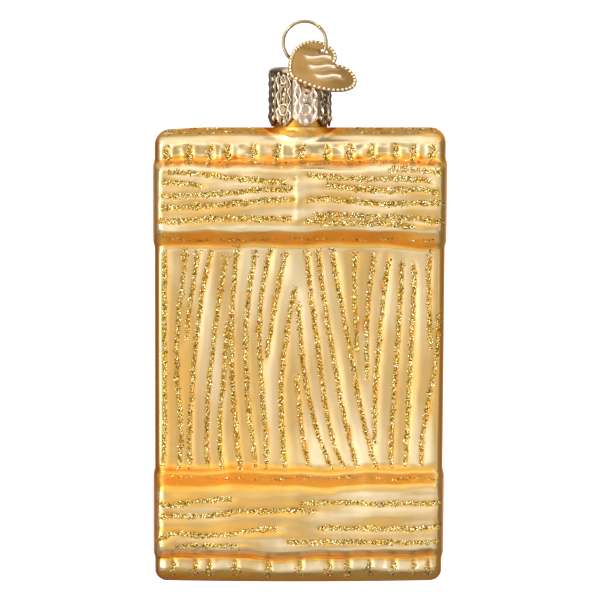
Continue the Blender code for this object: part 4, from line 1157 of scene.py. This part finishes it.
def make_tag():
    along, across, normal, hole = tag_frame()
    outline = heart_outline(TAG_OUTLINE_POINTS)
    centre = np.array([-TAG_LOBE_RADIUS - 1.0, 0.0])
    shares = np.concatenate([np.linspace(*run) for run in TAG_RINGS])
    flat = (centre + shares[:, None, None] * (outline - centre)).reshape(-1, 2)
    raised = tag_relief(outline, centre, flat)
    offset = flat - TAG_HOLE_PLACE
    plane = hole + offset[:, :1] * along + offset[:, 1:] * across
    sides = []
    for sign, keep in ((-1.0, 0.9), (1.0, 0.75)):
        sides.append(plane + normal * (0.5 * sign * TAG_THICKNESS - keep * raised)[:, None])
    points = np.concatenate(sides)
    columns = len(outline)
    sheet = grid_faces(len(shares), columns, wrap=True)
    count = len(flat)
    faces = [*sheet, *(sheet[:, ::-1] + count), range(columns), range(count + columns - 1, count - 1, -1)]
    last = count - columns
    for k in range(columns):
        follow = (k + 1) % columns
        faces.append((last + k, last + follow, count + last + follow, count + last + k))
    # Beads and strokes rubbed bright with a painted highlight, and painted shade growing towards the tag's
    # right
    worn_and_sheen = np.clip(raised / 0.26, 0.0, 1.0)
    looks = {"worn_and_sheen": [worn_and_sheen, worn_and_sheen], "painted_shade": smooth_step(TAG_PAINTED_SHADE_FROM[0], TAG_PAINTED_SHADE_FROM[1], points[:, 0])}
    tag = make_piece("heart_tag", points, faces, "tag", "tag_metal", looks)
    cut_hole(tag, Vector(hole), Matrix((along, across, normal)).transposed())
    return tag


def cut_hole(piece, centre, turned):
    """Cut the round hole through the tag and apply the cut."""
    builder = bmesh.new()
    size = TAG_HOLE_RADIUS * MM
    bmesh.ops.create_cone(builder, cap_ends=True, segments=TAG_HOLE_SIDES, radius1=size, radius2=size,
                          depth=TAG_DRILL_LENGTH * MM)
    place = Matrix.Translation(centre * MM) @ turned.to_4x4()
    bmesh.ops.transform(builder, matrix=place, verts=builder.verts)
    mesh = bpy.data.meshes.new("drill")
    builder.to_mesh(mesh)
    builder.free()
    drill = bpy.data.objects.new("drill", mesh)
    bpy.context.scene.collection.objects.link(drill)
    step = piece.modifiers.new("hole", "BOOLEAN")
    step.operation = "DIFFERENCE"
    step.solver = "EXACT"
    step.object = drill
    bpy.context.view_layer.update()
    cut = bpy.data.meshes.new_from_object(piece.evaluated_get(bpy.context.evaluated_depsgraph_get()))
    piece.modifiers.clear()
    piece.data = cut
    bpy.data.objects.remove(drill, do_unlink=True)


# Sushi on the far side

def superellipse(angle, power):
    c = np.cos(angle)
    s = np.sin(angle)
    return np.sign(c) * np.abs(c) ** (2.0 / power), np.sign(s) * np.abs(s) ** (2.0 / power)


def furrows(x, z, height, spacing):
    """Thin slanting furrows across the top of a topping, from 0 to 1."""
    wave = np.sin(2.0 * math.pi * (x + 0.55 * z + 0.5 * np.sin(0.6 * z)) / spacing)
    return smooth_step(7.0, 8.4, height) * np.clip(wave, 0.0, 1.0) ** 5


def moulded_form(name, centre, half, power, levels, spacing):
    """One moulded form standing on the far side of the board, with furrows where a spacing is given."""
    across, up = superellipse(circle(FORM_SEGMENTS) + math.pi / FORM_SEGMENTS, power)
    marks = np.arange(len(levels))
    fine = np.linspace(0.0, len(levels) - 1.0, 8 * (len(levels) - 1) + 1)
    heights, sizes = [np.interp(fine, marks, values) for values in zip(*levels)]
    for _ in range(10):
        heights[1:-1] = np.convolve(heights, SOFTENER, mode="valid")
        sizes[1:-1] = np.convolve(sizes, SOFTENER, mode="valid")
    rows = []
    tones = []
    for height, size in zip(heights, sizes):
        x = half[0] * size * across
        z = half[1] * size * up
        cut = furrows(x, z, height, spacing) if spacing else np.zeros(FORM_SEGMENTS)
        y = PARTING_Y + BOARD_FRONT + height - FURROW_DEPTH * cut
        rows.append(np.stack([centre[0] + x, y, centre[1] + z], axis=-1))
        tones.append(0.2 - 0.36 * cut)
    return make_piece(name, rows, tube_faces(len(rows), FORM_SEGMENTS), *GLASS, {"tint": tones})


def make_sushi():
    """Three rice blocks with toppings and three rolls, each piece with the name of its lacquer."""
    places = [(k, level, 0.0, NIGIRI_FORMS) for k, level in enumerate(NIGIRI_LEVELS)]
    places += [(k, MAKI_LEVEL, share, MAKI_FORMS) for k, share in enumerate(MAKI_PLACES)]
    made = []
    for k, level, share, forms in places:
        centre = (middle_at(level * BODY_HEIGHT) + share * HALF_WIDTH, BODY_TOP - level * BODY_HEIGHT)
        for name, kind, half, power, levels in forms:
            spacing = TOPPING_FURROWS[k] if name == "topping" else None
            piece = moulded_form(f"{name}_{k + 1}", centre, half, power, levels, spacing)
            made.append((piece, kind or FILLINGS[k]))
    return made


# Materials

class Look:
    """A procedural material around one principled shader, with short ways to add its nodes."""

    def __init__(self, name):
        self.material = bpy.data.materials.new(name)
        self.material.use_nodes = True
        self.tree = self.material.node_tree
        self.tree.nodes.clear()
        output = self.tree.nodes.new("ShaderNodeOutputMaterial")
        self.shader = self.tree.nodes.new("ShaderNodeBsdfPrincipled")
        self.tree.links.new(self.shader.outputs["BSDF"], output.inputs["Surface"])

    def feed(self, socket, value):
        """Sets a constant on a socket, or links another node's output to it."""
        if isinstance(value, bpy.types.NodeSocket):
            self.tree.links.new(value, socket)
        else:
            socket.default_value = value

    def set(self, **values):
        for key, value in values.items():
            self.feed(self.shader.inputs[key.replace("_", " ")], value)

    def stored(self, name):
        node = self.tree.nodes.new("ShaderNodeAttribute")
        node.attribute_name = name
        return node.outputs["Fac"]

    def noise(self, scale, detail, stretch=(1.0, 1.0, 1.0)):
        place = self.tree.nodes.new("ShaderNodeTexCoord")
        mapping = self.tree.nodes.new("ShaderNodeMapping")
        node = self.tree.nodes.new("ShaderNodeTexNoise")
        self.feed(mapping.inputs["Vector"], place.outputs["Object"])
        self.feed(mapping.inputs["Scale"], stretch)
        self.feed(node.inputs["Vector"], mapping.outputs["Vector"])
        self.feed(node.inputs["Scale"], scale)
        self.feed(node.inputs["Detail"], detail)
        return node.outputs["Fac"]

    def ramp(self, source, stops):
        node = self.tree.nodes.new("ShaderNodeValToRGB")
        elements = node.color_ramp.elements
        while len(elements) < len(stops):
            elements.new(0.5)
        for element, (place, *colour) in zip(elements, stops):
            element.position = place
            element.color = linear(*colour)
        self.feed(node.inputs["Fac"], source)
        return node.outputs["Color"]

    def math(self, operation, *values):
        node = self.tree.nodes.new("ShaderNodeMath")
        node.operation = operation
        for socket, value in zip(node.inputs, values):
            self.feed(socket, value)
        return node.outputs["Value"]

    def scaled(self, source, factor, shift):
        return self.math("MULTIPLY_ADD", source, factor, shift)

    def mix(self, share, first, second):
        """The first colour turned towards the second by a share."""
        node = self.tree.nodes.new("ShaderNodeMix")
        node.data_type = "RGBA"
        node.clamp_factor = True
        self.feed(node.inputs["Factor"], share)
        self.tree.links.new(first, node.inputs["A"])
        goal = next(socket for socket in node.inputs if socket.name == "B" and socket.type == "RGBA")
        self.feed(goal, linear(*second))
        return next(socket for socket in node.outputs if socket.type == "RGBA")

    def bump(self, source, strength):
        node = self.tree.nodes.new("ShaderNodeBump")
        self.feed(node.inputs["Strength"], strength)
        self.feed(node.inputs["Distance"], BUMP_DISTANCE)
        self.feed(node.inputs["Height"], source)
        self.set(Normal=node.outputs["Normal"])


def lacquer(name, stops, metallic, bumps, groove=None):
    """Satin metallic lacquer over silvered glass: its colour follows the stored tone and the grooves."""
    look = Look(name)
    mottled = look.scaled(look.noise(*CLOUDS), 0.42, -0.06)
    colour = look.ramp(look.scaled(look.stored("tint"), 0.85, mottled), stops)
    if groove:
        near = look.stored("near")
        patches = look.scaled(look.noise(*GROOVE_PATCHES), 2.6, -0.45)
        colour = look.mix(look.math("MULTIPLY", near, patches), colour, groove[0])
        colour = look.mix(look.scaled(near, 2.2, -1.1), colour, groove[1])
        broken = look.scaled(look.noise(*STREAK_BREAKS), 2.0, -0.35)
        colour = look.mix(look.math("MULTIPLY", look.stored("streak"), broken), colour, groove[2])
        look.set(Specular_Tint=linear(*GOLD_SHEEN))
    look.set(Base_Color=colour, Metallic=metallic)
    look.set(Roughness=look.scaled(look.noise(*SATIN_GRAIN), 0.12, 0.26))
    look.set(Coat_Weight=0.25, Coat_Roughness=0.10, Coat_IOR=1.40)
    look.bump(look.noise(bumps[0], 2.0), bumps[1])
    return look.material


def glitter_material():
    look = Look("gold_glitter")
    speck = look.scaled(look.noise(2500.0, 1.0), 0.2, -0.10)
    level = look.math("ADD", look.stored("shade"), speck)
    # Flakes painted from dark shade to bright sparkle
    look.set(Base_Color=look.ramp(level, GLITTER_RAMP), Metallic=1.0, Roughness=0.22)
    return look.material


def metal(name, stops, noise_scale, roughness, bump_strength, polished_and_sheen=None, painted_shade_colour=None):
    """Sheet or wire metal with cloudy colour, brighter where it is rubbed and where highlights and
    reflections are painted, darker where shade is painted.
    """
    look = Look(name)
    colour = look.ramp(look.noise(noise_scale, 4.0), stops)
    if painted_shade_colour:
        colour = look.mix(look.stored("painted_shade"), colour, painted_shade_colour)
    if polished_and_sheen:
        colour = look.mix(look.stored("worn_and_sheen"), colour, polished_and_sheen)
    look.set(Base_Color=colour, Metallic=1.0)
    look.set(Roughness=look.scaled(look.noise(3.0 * noise_scale, 2.0), 0.14, roughness - 0.07))
    look.bump(look.noise(2.0 * noise_scale, 3.0), bump_strength)
    return look.material


def dress(piece, material):
    piece.data.materials.clear()
    piece.data.materials.append(material)


# Studio

def area_light(name, azimuth, elevation, distance, width, height, radiance):
    """A soft box aimed at the ornament, as bright as its radiance says. Azimuth grows to the right."""
    data = bpy.data.lights.new(name, "AREA")
    data.shape = "RECTANGLE"
    data.size = width
    data.size_y = height
    data.energy = radiance * math.pi * width * height
    turn = math.radians(azimuth)
    up = math.radians(elevation)
    level = distance * math.cos(up)
    away = Vector((level * math.sin(turn), -level * math.cos(turn), distance * math.sin(up)))
    lamp = bpy.data.objects.new(name, data)
    lamp.location = away + Vector((0.0, 0.0, STUDIO_MIDDLE_Z))
    lamp.rotation_euler = (-away).to_track_quat("-Z", "Y").to_euler()
    lamp.visible_camera = False
    bpy.context.scene.collection.objects.link(lamp)


def make_floor():
    """A wide pale floor far below the hanging ornament, which turns up into a round wall."""
    profile = [(0.0, FLOOR_LEVEL), (FLOOR_RADIUS, FLOOR_LEVEL)]
    for angle in np.radians(np.linspace(11.25, 90.0, 8)):
        lift = WALL_BEND * (1.0 - math.cos(angle))
        profile.append((FLOOR_RADIUS + WALL_BEND * math.sin(angle), FLOOR_LEVEL + lift))
    profile.append((FLOOR_RADIUS + WALL_BEND, WALL_TOP))
    sweep = make_object("floor_sweep", *revolved(profile, (0.0, 0.0), FLOOR_SEGMENTS, closed=False))
    look = Look("white_floor")
    look.set(Base_Color=(FLOOR_TONE, FLOOR_TONE, FLOOR_TONE, 1.0), Roughness=0.9)
    look.set(Emission_Color=(1.0, 1.0, 1.0, 1.0), Emission_Strength=1.0)
    dress(sweep, look.material)
    sweep.visible_glossy = False
    sweep.visible_diffuse = False
    sweep.visible_shadow = False


def make_studio():
    world = bpy.data.worlds.new("studio")
    bpy.context.scene.world = world
    world.use_nodes = True
    background = world.node_tree.nodes["Background"]
    background.inputs["Color"].default_value = SKY_COLOUR
    background.inputs["Strength"].default_value = SKY_STRENGTH
    make_floor()
    for light in LIGHTS:
        area_light(*light)


def make_camera():
    """The photo's view: square on to the feet side, a little from above."""
    pitch = math.radians(CAMERA_PITCH)
    across = (0.5 * PHOTO_SIZE - PHOTO_ORIGIN[0]) * MM_PER_PIXEL
    up = (PHOTO_ORIGIN[1] - 0.5 * PHOTO_SIZE) * MM_PER_PIXEL
    aim = Vector((across, CAMERA_AIM_Y, up)) * MM
    data = bpy.data.cameras.new("camera")
    data.sensor_width = SENSOR_WIDTH
    data.lens = SENSOR_WIDTH * CAMERA_DISTANCE / (PHOTO_SIZE * MM_PER_PIXEL * MM)
    camera = bpy.data.objects.new("camera", data)
    camera.location = aim + CAMERA_DISTANCE * Vector((0.0, -math.cos(pitch), math.sin(pitch)))
    camera.rotation_euler = (math.radians(90.0) - pitch, 0.0, 0.0)
    bpy.context.scene.collection.objects.link(camera)
    bpy.context.scene.camera = camera


def main():
    bpy.context.scene.view_settings.view_transform = "Standard"
    make_camera()
    make_studio()
    gold = lacquer("board_lacquer", GOLD_RAMP, 0.90, SATIN_BUMPS, GROOVE_COLOURS)
    dress(make_body(), gold)
    dress(make_neck(), gold)
    glitter = glitter_material()
    for piece in make_glitter():
        dress(piece, glitter)
    far = {kind: lacquer(f"{kind}_lacquer", *look) for kind, look in FAR_LACQUERS.items()}
    for piece, kind in make_sushi():
        dress(piece, far[kind])
    dress(make_cap(), metal("cap_bronze", CAP_RAMP, 300.0, 0.11, 0.06, CAP_POLISH_AND_SHEEN))
    dress(make_ring(), metal("ring_gold", RING_RAMP, 500.0, 0.14, 0.1))
    dress(make_tag(), metal("tag_gold", TAG_RAMP, 420.0, 0.24, 0.08, TAG_POLISH_AND_SHEEN, TAG_PAINTED_SHADE))


main()
bpy.context.view_layer.update()
